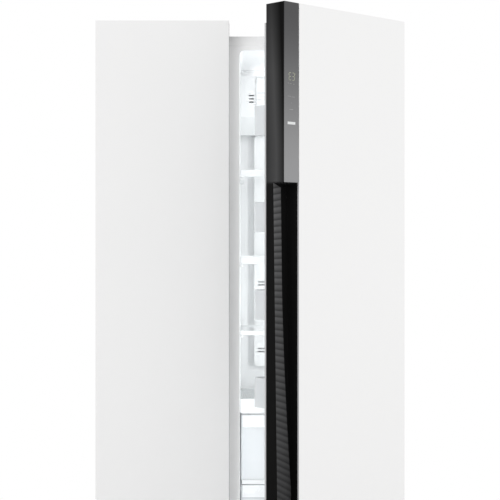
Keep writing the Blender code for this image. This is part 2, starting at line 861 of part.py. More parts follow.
def compressor():
    base = CABINET_FLOOR + GAP + MOUNT_HEIGHT
    radius, height = COMPRESSOR_RADIUS, COMPRESSOR_HEIGHT
    profile = [
        (0, height),
        (radius * 0.45, height * 0.985),
        (radius * 0.80, height * 0.90),
        (radius * 0.97, height * 0.76),
        (radius, height * 0.60),
        (radius, height * 0.25),
        (radius * 0.85, height * 0.08),
        (radius * 0.60, 0),
        (0, 0),
    ]
    body = turned("compressor", profile, (COMPRESSOR_X, MACHINE_Y, base), look=BLACK_PAINT)
    across, along = COMPRESSOR_FEET
    feet = block(
        "compressor_feet",
        grown((COMPRESSOR_X, COMPRESSOR_X), across + FOOT_MARGIN),
        grown((MACHINE_Y, MACHINE_Y), along + FOOT_MARGIN),
        (base, base + BRACKET),
    )
    join(body, feet)
    for dx in (-across, across):
        for dy in (-along, along):
            x, y = COMPRESSOR_X + dx, MACHINE_Y + dy
            foot = (x, y, CABINET_FLOOR + GAP)
            leg = pipe_between(f"leg_{dx}_{dy}", foot, (x, y, base + BRACKET / 2), MOUNT_RADIUS)
            join(body, leg)


def fan(name, centre, axis, radius, look, blades=5):
    """A hub with pitched blades, bored for its shaft, with its origin on the axis."""
    axis = Vector(axis)
    centre = Vector(centre)
    hub = pipe_between(
        name, centre - axis * 0.010, centre + axis * 0.010, radius * 0.26, look=look, origin=centre
    )
    across = axis.orthogonal().normalized()
    for index in range(blades):
        spin = Matrix.Rotation(2 * math.pi * index / blades, 3, axis)
        out = spin @ across
        side = axis.cross(out)
        pitch = Matrix.Rotation(math.radians(28), 3, out)
        size = (radius * 0.80, radius * 0.52, 0.0022)
        frame = Matrix((out, pitch @ side, pitch @ axis)).transposed().to_4x4()
        place = frame @ Matrix.Diagonal((*size, 1))
        work = bmesh.new()
        bmesh.ops.create_cube(work, size=1, matrix=place)
        middle = centre + out * radius * 0.59
        blade = add(f"{name}_blade_{index}", mesh_of(name, work), middle, CABINET, None)
        join(hub, blade)
    bore = pipe_between(
        name + "_bore", centre - axis * 0.02, centre + axis * 0.004, SHAFT_RADIUS + RUNNING, sides=12
    )
    return cut(hub, bore)


def motor_mount(carrier, centre, axis, radius):
    """A bar across the fan's opening with the motor and its shaft, joined to what carries it."""
    axis = Vector(axis)
    centre = Vector(centre)
    name = carrier.name
    bar_at = centre - axis * MOTOR_SETBACK
    up = Vector((0, 0, 1))
    half = axis * 0.0015 + axis.cross(up) * 0.008 + up * (radius + FAN_CLEARANCE + 0.004)
    low = [bar_at[i] - abs(half[i]) for i in range(3)]
    high = [bar_at[i] + abs(half[i]) for i in range(3)]
    bar = block(name + "_bar", *zip(low, high))
    motor = pipe_between(name + "_motor", bar_at, centre - axis * 0.0125, radius * 0.24)
    shaft = pipe_between(name + "_shaft", bar_at, centre - axis * 0.002, SHAFT_RADIUS, sides=12)
    return join(carrier, bar, motor, shaft)


def condenser_fan():
    centre = (FAN_X, MACHINE_Y, (CABINET_FLOOR + MACHINE_TOP) / 2)
    fan("condenser_fan", centre, (1, 0, 0), FAN_RADIUS, BLACK_PLASTIC)
    x = FAN_X - MOTOR_SETBACK
    bracket = block(
        "condenser_fan_bracket",
        grown((x, x), BRACKET / 2),
        grown((MACHINE_FRONT, REAR_COVER_BACK), -SHROUD_CLEARANCE),
        (CABINET_FLOOR + GAP, MACHINE_TOP - SHROUD_CLEARANCE),
        look=STEEL,
    )
    opening = pipe_between(
        "fan_opening",
        (x - 0.02, *centre[1:]),
        (x + 0.02, *centre[1:]),
        FAN_RADIUS + FAN_CLEARANCE,
        sides=32,
    )
    cut(bracket, opening)
    motor_mount(bracket, centre, (1, 0, 0), FAN_RADIUS)


def serpentine(x, y, z_low, pitch, runs, bend_steps=4):
    """Points of a tube that runs to and fro along X and climbs in Z."""
    points = []
    for run in range(runs):
        z = z_low + run * pitch
        ends = x if run % 2 == 0 else x[::-1]
        points += [(ends[0], y, z), (ends[1], y, z)]
        if run < runs - 1:
            way = math.copysign(1, ends[1] - ends[0])
            for step in range(1, bend_steps):
                angle = math.radians(-90 + 180 * step / bend_steps)
                points.append((
                    ends[1] + way * pitch / 2 * math.cos(angle),
                    y,
                    z + pitch / 2 + pitch / 2 * math.sin(angle),
                ))
    return points


def condenser_coil():
    z_low = CABINET_FLOOR + PAN_HEIGHT + CONDENSER_RISE
    pitch = (MACHINE_TOP - CONDENSER_DROP - z_low) / (CONDENSER_RUNS - 1)
    points = serpentine(CONDENSER_X, MACHINE_Y, z_low, pitch, CONDENSER_RUNS)
    coil = tube("condenser_coil", points, CONDENSER_TUBE, look=BLACK_PAINT)
    across, along = STRAP
    straps = blocks("condenser_straps", [
        (
            grown((x, x), across / 2),
            grown((MACHINE_Y, MACHINE_Y), along / 2),
            (z_low - CONDENSER_RISE, MACHINE_TOP - CONDENSER_DROP + STRAP[0] / 2),
        )
        for x in grown(CONDENSER_X, -STRAP_INSET)
    ])
    join(coil, straps)


def drain_pan():
    """The tray under the condenser that catches the defrost water."""
    tray(
        "drain_pan",
        grown(CONDENSER_X, PAN_MARGIN),
        grown((MACHINE_FRONT, REAR_COVER_BACK), -PAN_CLEARANCE),
        (CABINET_FLOOR + GAP, CABINET_FLOOR + GAP + PAN_HEIGHT),
        DRAWER_WALL,
        ("top",),
        look=BLACK_PLASTIC,
    )


def rear_cover():
    """The lower back cover with its air slots."""
    cover = block(
        "rear_cover",
        grown((-INNER_SIDE, INNER_SIDE), -GAP),
        (REAR_COVER_BACK + GAP, REAR_COVER_BACK + GAP + COVER_WALL),
        (CABINET_FLOOR, MACHINE_TOP - GAP * 2),
        look=BLACK_PLASTIC,
    )
    width, tall, pitch = REAR_SLOT
    slots = []
    for x in spread(grown((-HALF, HALF), -REAR_SLOT_MARGIN), REAR_SLOT_GRID[0]):
        for row in range(REAR_SLOT_GRID[1]):
            low = CABINET_FLOOR + REAR_SLOT_RISE + row * pitch
            through = (REAR_COVER_BACK - 0.02, CABINET_DEPTH + 0.01)
            slots.append((grown((x, x), width / 2), through, (low, low + tall)))
    gland = pipe_between("gland_hole", *mains_axis(), GLAND_RADIUS + RUNNING)
    cut(cover, blocks("rear_slots", slots), gland)


def mains_axis():
    x, z = HALF - GLAND_FROM_SIDE, MACHINE_TOP - GLAND_DROP
    return (x, REAR_COVER_BACK - 0.03, z), (x, CABINET_DEPTH + 0.02, z)


def mains_inlet():
    """The gland that the supply lead would pass through."""
    start, end = (Vector(point) for point in mains_axis())
    gland = pipe_between(
        "mains_inlet",
        (start.x, REAR_COVER_BACK - 0.016, start.z),
        (start.x, CABINET_DEPTH - GAP, start.z),
        GLAND_RADIUS,
        look=BLACK_PLASTIC,
        sides=20,
    )
    collar = pipe_between(
        "mains_collar",
        (start.x, REAR_COVER_BACK - 0.006, start.z),
        (start.x, REAR_COVER_BACK, start.z),
        GLAND_RADIUS + GLAND_COLLAR,
        sides=20,
    )
    join(gland, collar)
    cut(gland, pipe_between("lead_hole", start - Vector((0, 0.01, 0)), end, LEAD_RADIUS, sides=12))


# ---------------------------------------------------------------- freezer side


def evaporator():
    """The cooling coil behind the freezer's duct cover, with its pack of fins."""
    y = ROOM_BACK - DUCT_COVER_FROM_BACK / 2
    x = grown(FREEZER_X, -EVAPORATOR_MARGIN)
    points = serpentine(x, y, EVAPORATOR_BOTTOM, EVAPORATOR_PITCH, EVAPORATOR_RUNS)
    coil = tube("evaporator", points, EVAPORATOR_TUBE, look=ALUMINIUM)
    top = EVAPORATOR_BOTTOM + EVAPORATOR_PITCH * (EVAPORATOR_RUNS - 1)
    fins = [
        (
            grown((at, at), FIN_THICK / 2),
            grown((y, y), FIN_DEPTH / 2),
            grown((EVAPORATOR_BOTTOM, top), FIN_OVERHANG),
        )
        for at in spread(grown(x, -FIN_END), FIN_COUNT)
    ]
    join(coil, blocks("fins", fins))


def freezer_duct_cover():
    """The back wall of the freezer, in front of the coil, with its air slots and fan opening."""
    back = (COVER_BACK, COVER_BACK + DUCT_COVER_THICK)
    cover = block(
        "freezer_duct_cover", grown(FREEZER_X, -SHELF_PLAY), back, DUCT_COVER_Z, look=LINER_WHITE
    )
    fan_hole = pipe_between(
        "cover_fan_hole",
        (FREEZER_MIDDLE, back[0] - 0.02, EVAPORATOR_FAN_Z),
        (FREEZER_MIDDLE, back[1] + 0.02, EVAPORATOR_FAN_Z),
        SMALL_FAN_RADIUS * 0.9,
        sides=24,
    )
    width, height, pitch = COVER_SLOT
    slots = [
        (
            grown((FREEZER_MIDDLE, FREEZER_MIDDLE), width / 2),
            grown(back, 0.01),
            (level + row * pitch, level + row * pitch + height),
        )
        for level in levels(DUCT_COVER_Z, COVER_SLOT_SHARES)
        for row in range(3)
    ]
    cut(cover, fan_hole, blocks("cover_slots", slots))


def evaporator_fan():
    """The fan behind the duct cover, on a motor that two posts hold to the cover."""
    centre = Vector((FREEZER_MIDDLE, COVER_BACK + DUCT_COVER_THICK + 0.014, EVAPORATOR_FAN_Z))
    fan("evaporator_fan", centre, (0, -1, 0), SMALL_FAN_RADIUS, BLACK_PLASTIC)
    cover = bpy.data.objects["freezer_duct_cover"]
    reach = SMALL_FAN_RADIUS + FAN_CLEARANCE + 0.002
    posts = blocks("motor_posts", [
        (
            (centre.x - 0.008, centre.x + 0.008),
            (COVER_BACK + DUCT_COVER_THICK / 2, centre.y + MOTOR_SETBACK),
            (z - 0.002, z + 0.002),
        )
        for z in (centre.z - reach, centre.z + reach)
    ])
    join(cover, posts)
    motor_mount(cover, centre, (0, -1, 0), SMALL_FAN_RADIUS)


def shelf(name, across, depth, top, trim_height, look=CLEAR):
    """A glass shelf in one piece with the trim along its front edge."""
    across = grown(across, -SHELF_PLAY)
    glass = block(
        name, across, (SHELF_FRONT + TRIM_DEPTH / 2, SHELF_FRONT + depth), (top - GLASS, top), look=look
    )
    trim = block(
        name + "_trim", across, (SHELF_FRONT, SHELF_FRONT + TRIM_DEPTH), (top - trim_height, top)
    )
    return join(glass, trim)


def freezer_shelves():
    depth = COVER_BACK - GAP * 2 - SHELF_FRONT
    names = ("freezer_shelf_top", "freezer_shelf_bottom", "freezer_drawer_cover")
    for name, top in zip(names, (*FREEZER_SHELF_TOPS, FREEZER_COVER_TOP)):
        shelf(name, FREEZER_X, depth, top, FREEZER_TRIM_HEIGHT)


# ---------------------------------------------------------------- fridge side


def fridge_shelves():
    names = ("fridge_shelf_top", "fridge_shelf_middle", "fridge_shelf_bottom", "crisper_cover")
    tops = (*FRIDGE_SHELF_TOPS, CRISPER_COVER_TOP)
    trims = (*FRIDGE_TRIM_HEIGHTS, CRISPER_TRIM_HEIGHT)
    for name, top, trim in zip(names, tops, trims):
        shelf(name, FRIDGE_X, SHELF_DEPTH, top, trim)


def drawer(name, across, z, back, look=DRAWER_CLEAR):
    """An open-topped drawer with a thicker front and a pull along its top edge."""
    x = grown(across, -SLIDING)
    front = SHELF_FRONT + DRAWER_SETBACK
    body = tray(name, x, (front, back), z, DRAWER_WALL, ("top",), look=look)
    join(body, block(name + "_face", x, (front, front + DRAWER_FRONT), z))
    pull = block(
        name + "_pull",
        grown(x, -PULL_MARGIN),
        (front + PULL_WALL, front + DRAWER_FRONT + 0.01),
        (z[1] - PULL_HEIGHT, z[1] + 0.01),
    )
    return cut(body, pull)


def drawers():
    step_back = STEP_FRONT - DRAWER_BACK_CLEARANCE
    deep_back = SHELF_FRONT + SHELF_DEPTH - DEEP_DRAWER_CLEARANCE
    drawer("crisper_drawer_upper", FRIDGE_X, UPPER_CRISPER, deep_back)
    drawer("crisper_drawer_lower", FRIDGE_X, LOWER_CRISPER, step_back)
    freezer_back = COVER_BACK - DEEP_DRAWER_CLEARANCE
    drawer("freezer_drawer_upper", FREEZER_X, UPPER_FREEZER_DRAWER, freezer_back)
    drawer("freezer_drawer_lower", FREEZER_X, LOWER_FREEZER_DRAWER, step_back)


def end_slots(across, low, size, rows, front, depth=0.01):
    """Rows of slots at both ends of a width; the size is a slot's width, height and pitch."""
    width, height, pitch = size
    return [
        ((x, x + width), (front - 0.01, front + depth), (low + row * pitch, low + row * pitch + height))
        for row in range(rows)
        for x in (across[0], across[1] - width)
    ]


def damper_axis():
    return (ROOM_BACK - DUCT_HEAD_DEPTH + DAMPER_SETBACK, DUCT_HEAD[0] + DAMPER_RISE)


def duct_head():
    """The housing across the top of the fridge's back wall, open towards the wall."""
    front = ROOM_BACK - DUCT_HEAD_DEPTH
    back = ROOM_BACK - GAP
    low, high = DUCT_HEAD
    slope_back, slope_up = DUCT_HEAD_SLOPE

    def side_view(inset):
        return [
            (front + inset, high - inset),
            (back + inset, high - inset),
            (back + inset, low + inset),
            (front + slope_back + inset, low + inset),
            (front + inset, low + slope_up + inset * 0.4),
        ]

    x = grown(FRIDGE_X, -GAP)
    head = plate("fridge_duct_head", [side_view(0)], x, "X", look=LINER_WHITE)
    inside = plate("duct_head_inside", [side_view(DUCT_WALL)], grown(x, -DUCT_WALL), "X")
    cut(head, inside)
    width = DAMPER[0]
    y, z = damper_axis()
    reach = width / 2 + RUNNING
    lugs = blocks("damper_lugs", [
        (
            (FRIDGE_MIDDLE + start, FRIDGE_MIDDLE + start + LUG_THICK),
            (front + DUCT_WALL / 2, y + LUG_REACH),
            grown((z, z), LUG_REACH),
        )
        for start in (-reach - LUG_THICK, reach)
    ])
    join(head, lugs)
    pivot = pipe_between(
        "damper_holes",
        (FRIDGE_MIDDLE - width, y, z),
        (FRIDGE_MIDDLE + width, y, z),
        DAMPER_PIN + RUNNING,
        sides=12,
    )
    slots = end_slots(grown(FRIDGE_X, -HEAD_SLOT_INSET), high - HEAD_SLOTS_DROP, HEAD_SLOT, 3, front)
    cut(head, pivot, blocks("head_slots", slots))


def fridge_lamp():
    """The lens in the middle of the duct head, with air slots at both ends."""
    front = ROOM_BACK - DUCT_HEAD_DEPTH - GAP
    x = grown(FRIDGE_X, -LAMP_MARGIN)
    top = DUCT_HEAD[1] - LAMP_FROM_HEAD_TOP
    face = front - LAMP_THICK
    lamp = block("fridge_lamp", x, (face, front), (top - LAMP_HEIGHT, top), look=LAMP_WHITE)
    soften(lamp, 0.002)
    ends = grown(x, -LAMP_SLOT_INSET)
    slots = end_slots(ends, top - LAMP_SLOTS_DROP, LAMP_SLOT, 3, face, depth=LAMP_THICK * 0.7)
    cut(lamp, blocks("lamp_slots", slots))


def air_damper():
    """The flap that lets cold air into the fridge, hinged along X on its front edge."""
    width, length, thick = DAMPER
    y, z = damper_axis()
    origin = (FRIDGE_MIDDLE, y, z)
    pin = pipe_between(
        "air_damper",
        (FRIDGE_MIDDLE - width / 2 - RUNNING - LUG_THICK, y, z),
        (FRIDGE_MIDDLE + width / 2 + RUNNING + LUG_THICK, y, z),
        DAMPER_PIN,
        look=LAMP_WHITE,
        sides=12,
        origin=origin,
    )
    flap = block(
        "damper_flap",
        (FRIDGE_MIDDLE - width / 2, FRIDGE_MIDDLE + width / 2),
        (y, y + length),
        (z - thick / 2, z + thick / 2),
    )
    join(pin, flap)


def duct_column():
    """The flat air duct down the middle of the fridge's back wall, with its outlets."""
    x = grown(FRIDGE_X, -COLUMN_MARGIN)
    back = ROOM_BACK - GAP
    front = ROOM_BACK - COLUMN_DEPTH
    column = plate(
        "fridge_duct_column", [rounded(x, COLUMN_Z, 0.012, 3)], (front, back), "Y", look=LINER_WHITE
    )
    inside = block(
        "column_inside",
        grown(x, -DUCT_WALL),
        (front + DUCT_WALL, back + 0.01),
        grown(COLUMN_Z, -DUCT_WALL * 3),
    )
    slots = []
    for level in levels(COLUMN_Z, COLUMN_SLOT_SHARES):
        slots += end_slots(grown(x, -COLUMN_SLOT_INSET), level, COLUMN_SLOT, 2, front)
    cut(column, inside, blocks("column_slots", slots))


# ---------------------------------------------------------------- doors


class Door:
    """One door's places: 'free' is its free edge, 'way' the direction from there to its hinge."""

    def __init__(self, side, free, hinge, room_x, group, edge_width):
        self.side = side
        self.free = free
        self.hinge = hinge
        self.way = math.copysign(1, hinge.x - free)
        self.outer = hinge.x + self.way * HINGE_FROM_SIDE
        self.room = room_x
        self.group = group
        self.body_start = free + self.way * edge_width

    def span(self, start, end):
        return (min(start, end), max(start, end))

    def inner_span(self, inset=0.0):
        """Between the free-edge trim and the outer sheet of the hinge side."""
        return self.span(
            self.body_start + self.way * (GAP + inset),
            self.outer - self.way * (DOOR_SHEET + GAP + inset),
        )

    def dyke(self, shrink=0.0):
        """The raised border that stands in the opening: its span across and its height."""
        x = grown(self.room, -DYKE_CLEARANCE - shrink)
        z = grown(ROOM_Z, -DYKE_CLEARANCE - shrink)
        return x, z

    def liner_x(self):
        """The inner sheet reaches from just inside the free edge to the outer sheet."""
        return self.span(
            self.free + self.way * (EDGE_WALL + GAP), self.outer - self.way * (DOOR_SHEET + GAP)
        )

    def liner_z(self):
        return (DOOR_BOTTOM + BOTTOM_CAP, DOOR_TOP - TOP_CAP)

    def liner_seat(self, name):
        """The recess in the door's back that the inner sheet lies in."""
        return self.block(
            name, grown(self.liner_x(), GAP), (LINER_SEAT, DOOR_BACK + 0.01), self.liner_z()
        )

    def block(self, name, x, y, z, look=None):
        return block(f"{self.side}_door_{name}", x, y, z, self.group, look)


def pocket(door, name):
    """The corner that the top hinge's neck swings in, open to the back, the side and the top."""
    return door.block(
        name,
        door.span(door.hinge.x - door.way * POCKET_INBOARD, door.outer + door.way * 0.01),
        (DOOR_FRONT + POCKET_LIP, DOOR_BACK + 0.01),
        (POCKET_FLOOR, DOOR_TOP + 0.01),
    )


def door_panel(door, start, turn_in):
    """The white steel front, folded round the hinge side and a little way in at the free side."""
    face = [
        (start, DOOR_FRONT + turn_in),
        (start, DOOR_FRONT),
        (door.outer, DOOR_FRONT),
        (door.outer, DOOR_BACK - GAP),
    ]
    inner = [
        (door.outer - door.way * DOOR_SHEET, DOOR_BACK - GAP),
        (door.outer - door.way * DOOR_SHEET, DOOR_FRONT + DOOR_SHEET),
        (start + door.way * DOOR_SHEET, DOOR_FRONT + DOOR_SHEET),
        (start + door.way * DOOR_SHEET, DOOR_FRONT + turn_in),
    ]
    panel = plate(
        f"{door.side}_door_panel", [face + inner], (DOOR_BOTTOM, DOOR_TOP), "Z", door.group, WHITE
    )
    cut(panel, pocket(door, "panel_pocket"))


def door_core(door):
    """The foam body with its moulded ends, bored for the hinge pins."""
    front = DOOR_FRONT + DOOR_SHEET + GAP
    z = (DOOR_BOTTOM, DOOR_TOP - GAP)
    core = door.block("core", door.inner_span(), (front, DOOR_BACK - GAP), z, FOAM)
    hx, hy = door.hinge.x, door.hinge.y
    top_bore = pipe_between(
        f"{door.side}_top_bore",
        (hx, hy, POCKET_FLOOR - PIN_LENGTH),
        (hx, hy, POCKET_FLOOR + 0.01),
        PIN_RADIUS + RUNNING,
        door.group,
    )
    bottom_bore = pipe_between(
        f"{door.side}_bottom_bore",
        (hx, hy, DOOR_BOTTOM - 0.01),
        (hx, hy, DOOR_BOTTOM + PIN_LENGTH),
        PIN_RADIUS + RUNNING,
        door.group,
    )
    cut(core, door.liner_seat("core_seat"), pocket(door, "core_pocket"), top_bore, bottom_bore)


def door_liner(door):
    """The inner face of the door with its raised border, which holds the bins."""
    sheet = door.block(
        "liner",
        door.liner_x(),
        (DOOR_BACK - GAP - DOOR_LINER, DOOR_BACK - GAP),
        grown(door.liner_z(), -GAP),
        LINER_WHITE,
    )
    outer_x, outer_z = door.dyke()
    inner_x, inner_z = door.dyke(DYKE_WIDTH)
    border = plate(
        f"{door.side}_door_dyke",
        [rounded(outer_x, outer_z, CORNER), rounded(inner_x, inner_z, CORNER)],
        (DOOR_BACK - GAP - DOOR_LINER / 2, DOOR_BACK + DYKE_HEIGHT),
        "Y",
        door.group,
    )
    join(sheet, border)


def door_gasket(door):
    """The magnetic seal, as a plain ring between the door and the rim."""
    free = door.free + door.way * SEAL_FREE_INSET
    hinge_side = door.hinge.x - door.way * SEAL_BEHIND_PIN
    outer_x = door.span(free, hinge_side)
    outer_z = grown(ROOM_Z, SEAL_END_OVERLAP)
    inner_x, inner_z = grown(outer_x, -SEAL_WIDTH), grown(outer_z, -SEAL_WIDTH)
    plate(
        f"{door.side}_door_gasket",
        [rounded(outer_x, outer_z, 0.006, 2), rounded(inner_x, inner_z, 0.006, 2)],
        (DOOR_BACK, -GAP),
        "Y",
        door.group,
        SEAL_GREY,
    )


def door_bins(door, floors):
    """Open-topped bins that hang between the sides of the raised border."""
    across = grown(door.dyke(DYKE_WIDTH)[0], -GAP)
    for index, low in enumerate(floors, start=1):
        tray(
            f"{door.side}_door_bin_{index}",
            across,
            (DOOR_BACK + GAP, BIN_REACH),
            (low, low + BIN_HEIGHT),
            BIN_WALL,
            ("top",),
            door.group,
            DRAWER_CLEAR,
        )


def channel_floor(z):
    """How far the floor of the grip channel lies behind the door's front at a height."""
    return CHANNEL_TOP_DEPTH - (STRIP_BOTTOM - z) * CHANNEL_SLOPE


def right_edge(door):
    """The black moulding on the free edge, with the open channel that the hand reaches into."""
    z = (DOOR_BOTTOM, DOOR_TOP)
    x = door.span(door.free, door.body_start)
    trim = door.block("edge_trim", x, (DOOR_FRONT + EDGE_RETURN, DOOR_BACK - GAP), z, GLOSS_BLACK)
    upper_front = door.block(
        "edge_upper",
        door.span(door.free, door.free + door.way * (STRIP_WIDTH - GAP)),
        (DOOR_FRONT + STRIP_THICK + GAP, DOOR_FRONT + EDGE_RETURN + 0.01),
        (STRIP_BOTTOM, z[1]),
    )
    join(trim, upper_front)

    top, low = STRIP_BOTTOM - GAP, z[0] - 0.01
    channel = plate(
        "right_door_channel",
        [[
            (DOOR_FRONT - 0.01, top),
            (DOOR_FRONT + channel_floor(top), top),
            (DOOR_FRONT + channel_floor(low), low),
            (DOOR_FRONT - 0.01, low),
        ]],
        door.span(door.free - door.way * 0.01, door.free + door.way * STRIP_WIDTH),
        "X",
        door.group,
    )
    cut(trim, channel)
    strip_seat = DOOR_FRONT + STRIP_THICK + GAP
    hollow = plate(
        "right_door_edge_hollow",
        [[
            (LINER_SEAT - EDGE_WALL, z[0] + EDGE_WALL),
            (LINER_SEAT - EDGE_WALL, z[1] - EDGE_WALL),
            (strip_seat + EDGE_WALL, z[1] - EDGE_WALL),
            (strip_seat + EDGE_WALL, STRIP_BOTTOM + EDGE_WALL),
            (DOOR_FRONT + channel_floor(STRIP_BOTTOM) + EDGE_WALL, STRIP_BOTTOM + EDGE_WALL),
            (DOOR_FRONT + channel_floor(z[0]) + EDGE_WALL, z[0] + EDGE_WALL),
        ]],
        door.span(door.free + door.way * EDGE_WALL, door.body_start + door.way * 0.01),
        "X",
        door.group,
    )
    cut(trim, hollow, door.liner_seat("edge_seat"))


def control_strip(door):
    door.block(
        "control_panel",
        door.span(door.free, door.free + door.way * (STRIP_WIDTH - GAP)),
        (DOOR_FRONT, DOOR_FRONT + STRIP_THICK),
        (STRIP_BOTTOM, DOOR_TOP),
        STRIP_GREY,
    )


def grip_insert(door):
    """The ribbed strip that lies on the channel's floor and widens towards the bottom."""
    near = GRIP_MARGIN
    full = STRIP_WIDTH - GRIP_MARGIN
    top = STRIP_BOTTOM - GAP * 2
    bottom = DOOR_BOTTOM
    edge = [(near, top), (GRIP_TOP_WIDTH, top - GRIP_END_SLANT)]
    for share in spread((0, 1), GRIP_SWEEP_STEPS + 1):
        wide = GRIP_TOP_WIDTH + (full - GRIP_TOP_WIDTH) * share ** GRIP_SWEEP_POWER
        edge.append((wide, GRIP_SWEEP_TOP + (GRIP_SWEEP_BOTTOM - GRIP_SWEEP_TOP) * share))
    edge += [(full, bottom), (near, bottom)]
    middle_z = (top + bottom) / 2
    insert = plate(
        "right_door_grip_insert",
        [[(door.free + door.way * inward, z - middle_z) for inward, z in edge]],
        (-GRIP_THICK / 2, GRIP_THICK / 2),
        "Y",
        door.group,
        GRIP_GREY,
    )
    insert.location += Vector((0, DOOR_FRONT + channel_floor(middle_z) - GRIP_THICK / 2 - GAP, middle_z))
    insert.rotation_euler.x = -math.atan(CHANNEL_SLOPE)
    below = door.block(
        "below_grip",
        grown(door.span(door.free, door.body_start), 0.02),
        (DOOR_FRONT - 0.02, DOOR_BACK),
        (bottom - 0.05, bottom + GRIP_END_CLEARANCE),
    )
    cut(insert, below)


def left_edge(door):
    """The dark moulding on the left door's free edge, with its finger groove."""
    x = door.span(door.free, door.body_start)
    y = (DOOR_FRONT + LEFT_RETURN + GAP, DOOR_BACK - GAP)
    trim = door.block("edge_trim", x, y, (DOOR_BOTTOM, DOOR_TOP), GLOSS_BLACK)
    front_half = door.block(
        "edge_front",
        door.span(door.free + door.way * (DOOR_SHEET + GAP), door.body_start),
        (DOOR_FRONT + DOOR_SHEET + GAP, DOOR_FRONT + LEFT_RETURN + 0.01),
        (DOOR_BOTTOM, DOOR_TOP),
    )
    join(trim, front_half)
    groove = door.block(
        "groove",
        door.span(door.free - door.way * 0.01, door.free + door.way * GROOVE_DEPTH),
        (DOOR_FRONT + GROOVE[0], DOOR_FRONT + GROOVE[1]),
        GROOVE_ENDS,
    )
    cut(trim, groove, door.liner_seat("edge_seat"))


def doors():
    right = Door("right", RIGHT_FREE, RIGHT_HINGE, FRIDGE_X, RIGHT_DOOR, STRIP_WIDTH + 0.002)
    left = Door("left", LEFT_FREE, LEFT_HINGE, FREEZER_X, LEFT_DOOR, LEFT_EDGE_WIDTH)
    door_panel(right, right.free + right.way * STRIP_WIDTH, EDGE_RETURN - GAP)
    door_panel(left, left.free, LEFT_RETURN)
    right_edge(right)
    control_strip(right)
    grip_insert(right)
    left_edge(left)
    for door, floors in ((right, RIGHT_BIN_FLOORS), (left, LEFT_BIN_FLOORS)):
        door_core(door)
        door_liner(door)
        door_gasket(door)
        door_bins(door, floors)


# ---------------------------------------------------------------- the whole refrigerator


def cabinet():
    outer_cabinet()
    back_panel()
    front_rim()
    cabinet_foam()
    fridge_ribs = [top - GLASS for top in (*FRIDGE_SHELF_TOPS, CRISPER_COVER_TOP)]
    freezer_ribs = [top - GLASS for top in (*FREEZER_SHELF_TOPS, FREEZER_COVER_TOP)]
    liner("fridge_liner", FRIDGE_X, fridge_ribs)
    liner("freezer_liner", FREEZER_X, freezer_ribs)
    base_pan()
    levelling_feet()
    rear_rollers()
    toe_grille()
    for side, hinge in (("right", RIGHT_HINGE), ("left", LEFT_HINGE)):
        top_hinge(side, hinge)
        bottom_hinge(side, hinge)
    top_cover()


def machinery():
    compressor()
    condenser_fan()
    condenser_coil()
    drain_pan()
    rear_cover()
    mains_inlet()
    evaporator()
    freezer_duct_cover()
    evaporator_fan()
    duct_head()
    fridge_lamp()
    air_damper()
    duct_column()


cabinet()
machinery()
fridge_shelves()
freezer_shelves()
drawers()
doors()
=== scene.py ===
"""The looks of a free-standing side by side refrigerator, built round its CAD frame.

Sizes are metres; X runs to the right, Y to the back, Z up. Places are given in the cabinet's own
axes: x = 0 is the cabinet's middle, y = 0 the plane that the door seals press on, z = 0 the floor.
The right door's new pieces are modelled shut, then swung open with the door.
"""

import json
import math

import bmesh
import bpy
from mathutils import Matrix, Vector


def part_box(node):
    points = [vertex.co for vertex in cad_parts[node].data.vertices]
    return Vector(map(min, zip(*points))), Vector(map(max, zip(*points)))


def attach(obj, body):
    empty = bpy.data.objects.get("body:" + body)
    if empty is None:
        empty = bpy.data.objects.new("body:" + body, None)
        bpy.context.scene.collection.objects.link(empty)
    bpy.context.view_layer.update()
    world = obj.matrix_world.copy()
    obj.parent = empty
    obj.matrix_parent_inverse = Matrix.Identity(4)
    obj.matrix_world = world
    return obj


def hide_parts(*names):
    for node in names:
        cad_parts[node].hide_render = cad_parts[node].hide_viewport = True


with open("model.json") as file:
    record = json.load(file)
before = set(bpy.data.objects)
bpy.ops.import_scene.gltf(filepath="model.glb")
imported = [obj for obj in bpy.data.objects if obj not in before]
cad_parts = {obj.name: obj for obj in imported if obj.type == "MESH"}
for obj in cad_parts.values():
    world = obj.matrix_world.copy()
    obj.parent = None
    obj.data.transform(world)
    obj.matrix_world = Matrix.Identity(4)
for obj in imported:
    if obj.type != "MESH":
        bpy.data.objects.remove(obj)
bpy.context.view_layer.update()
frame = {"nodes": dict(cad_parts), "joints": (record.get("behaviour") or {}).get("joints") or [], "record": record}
bpy.ops.object.select_all(action="DESELECT")

# ---------------------------------------------------------------- places read from the frame

BODIES = frame["record"]["behaviour"]["bodies"]
BODY_OF = {node: body for body, group in BODIES.items() for node in group}
SLOT_OF = {part["node"]: part["material_slot"] for part in frame["record"]["subparts"]}
JOINTS = {joint["name"]: joint for joint in frame["joints"]}

RIM_LOW, RIM_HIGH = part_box("front_rim")
ORIGIN = Vector(((RIM_LOW.x + RIM_HIGH.x) / 2, RIM_LOW.y, 0))


def spans(node):
    """A node's box in the cabinet's axes, as its spans along X, Y and Z."""
    low, high = (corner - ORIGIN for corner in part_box(node))
    return [(low[axis], high[axis]) for axis in range(3)]


def hinge_of(joint):
    return Vector(JOINTS[joint]["pos_m"]) - ORIGIN


def grown(span, amount):
    return (span[0] - amount, span[1] + amount)


def between(start, end, share):
    return start + (end - start) * share


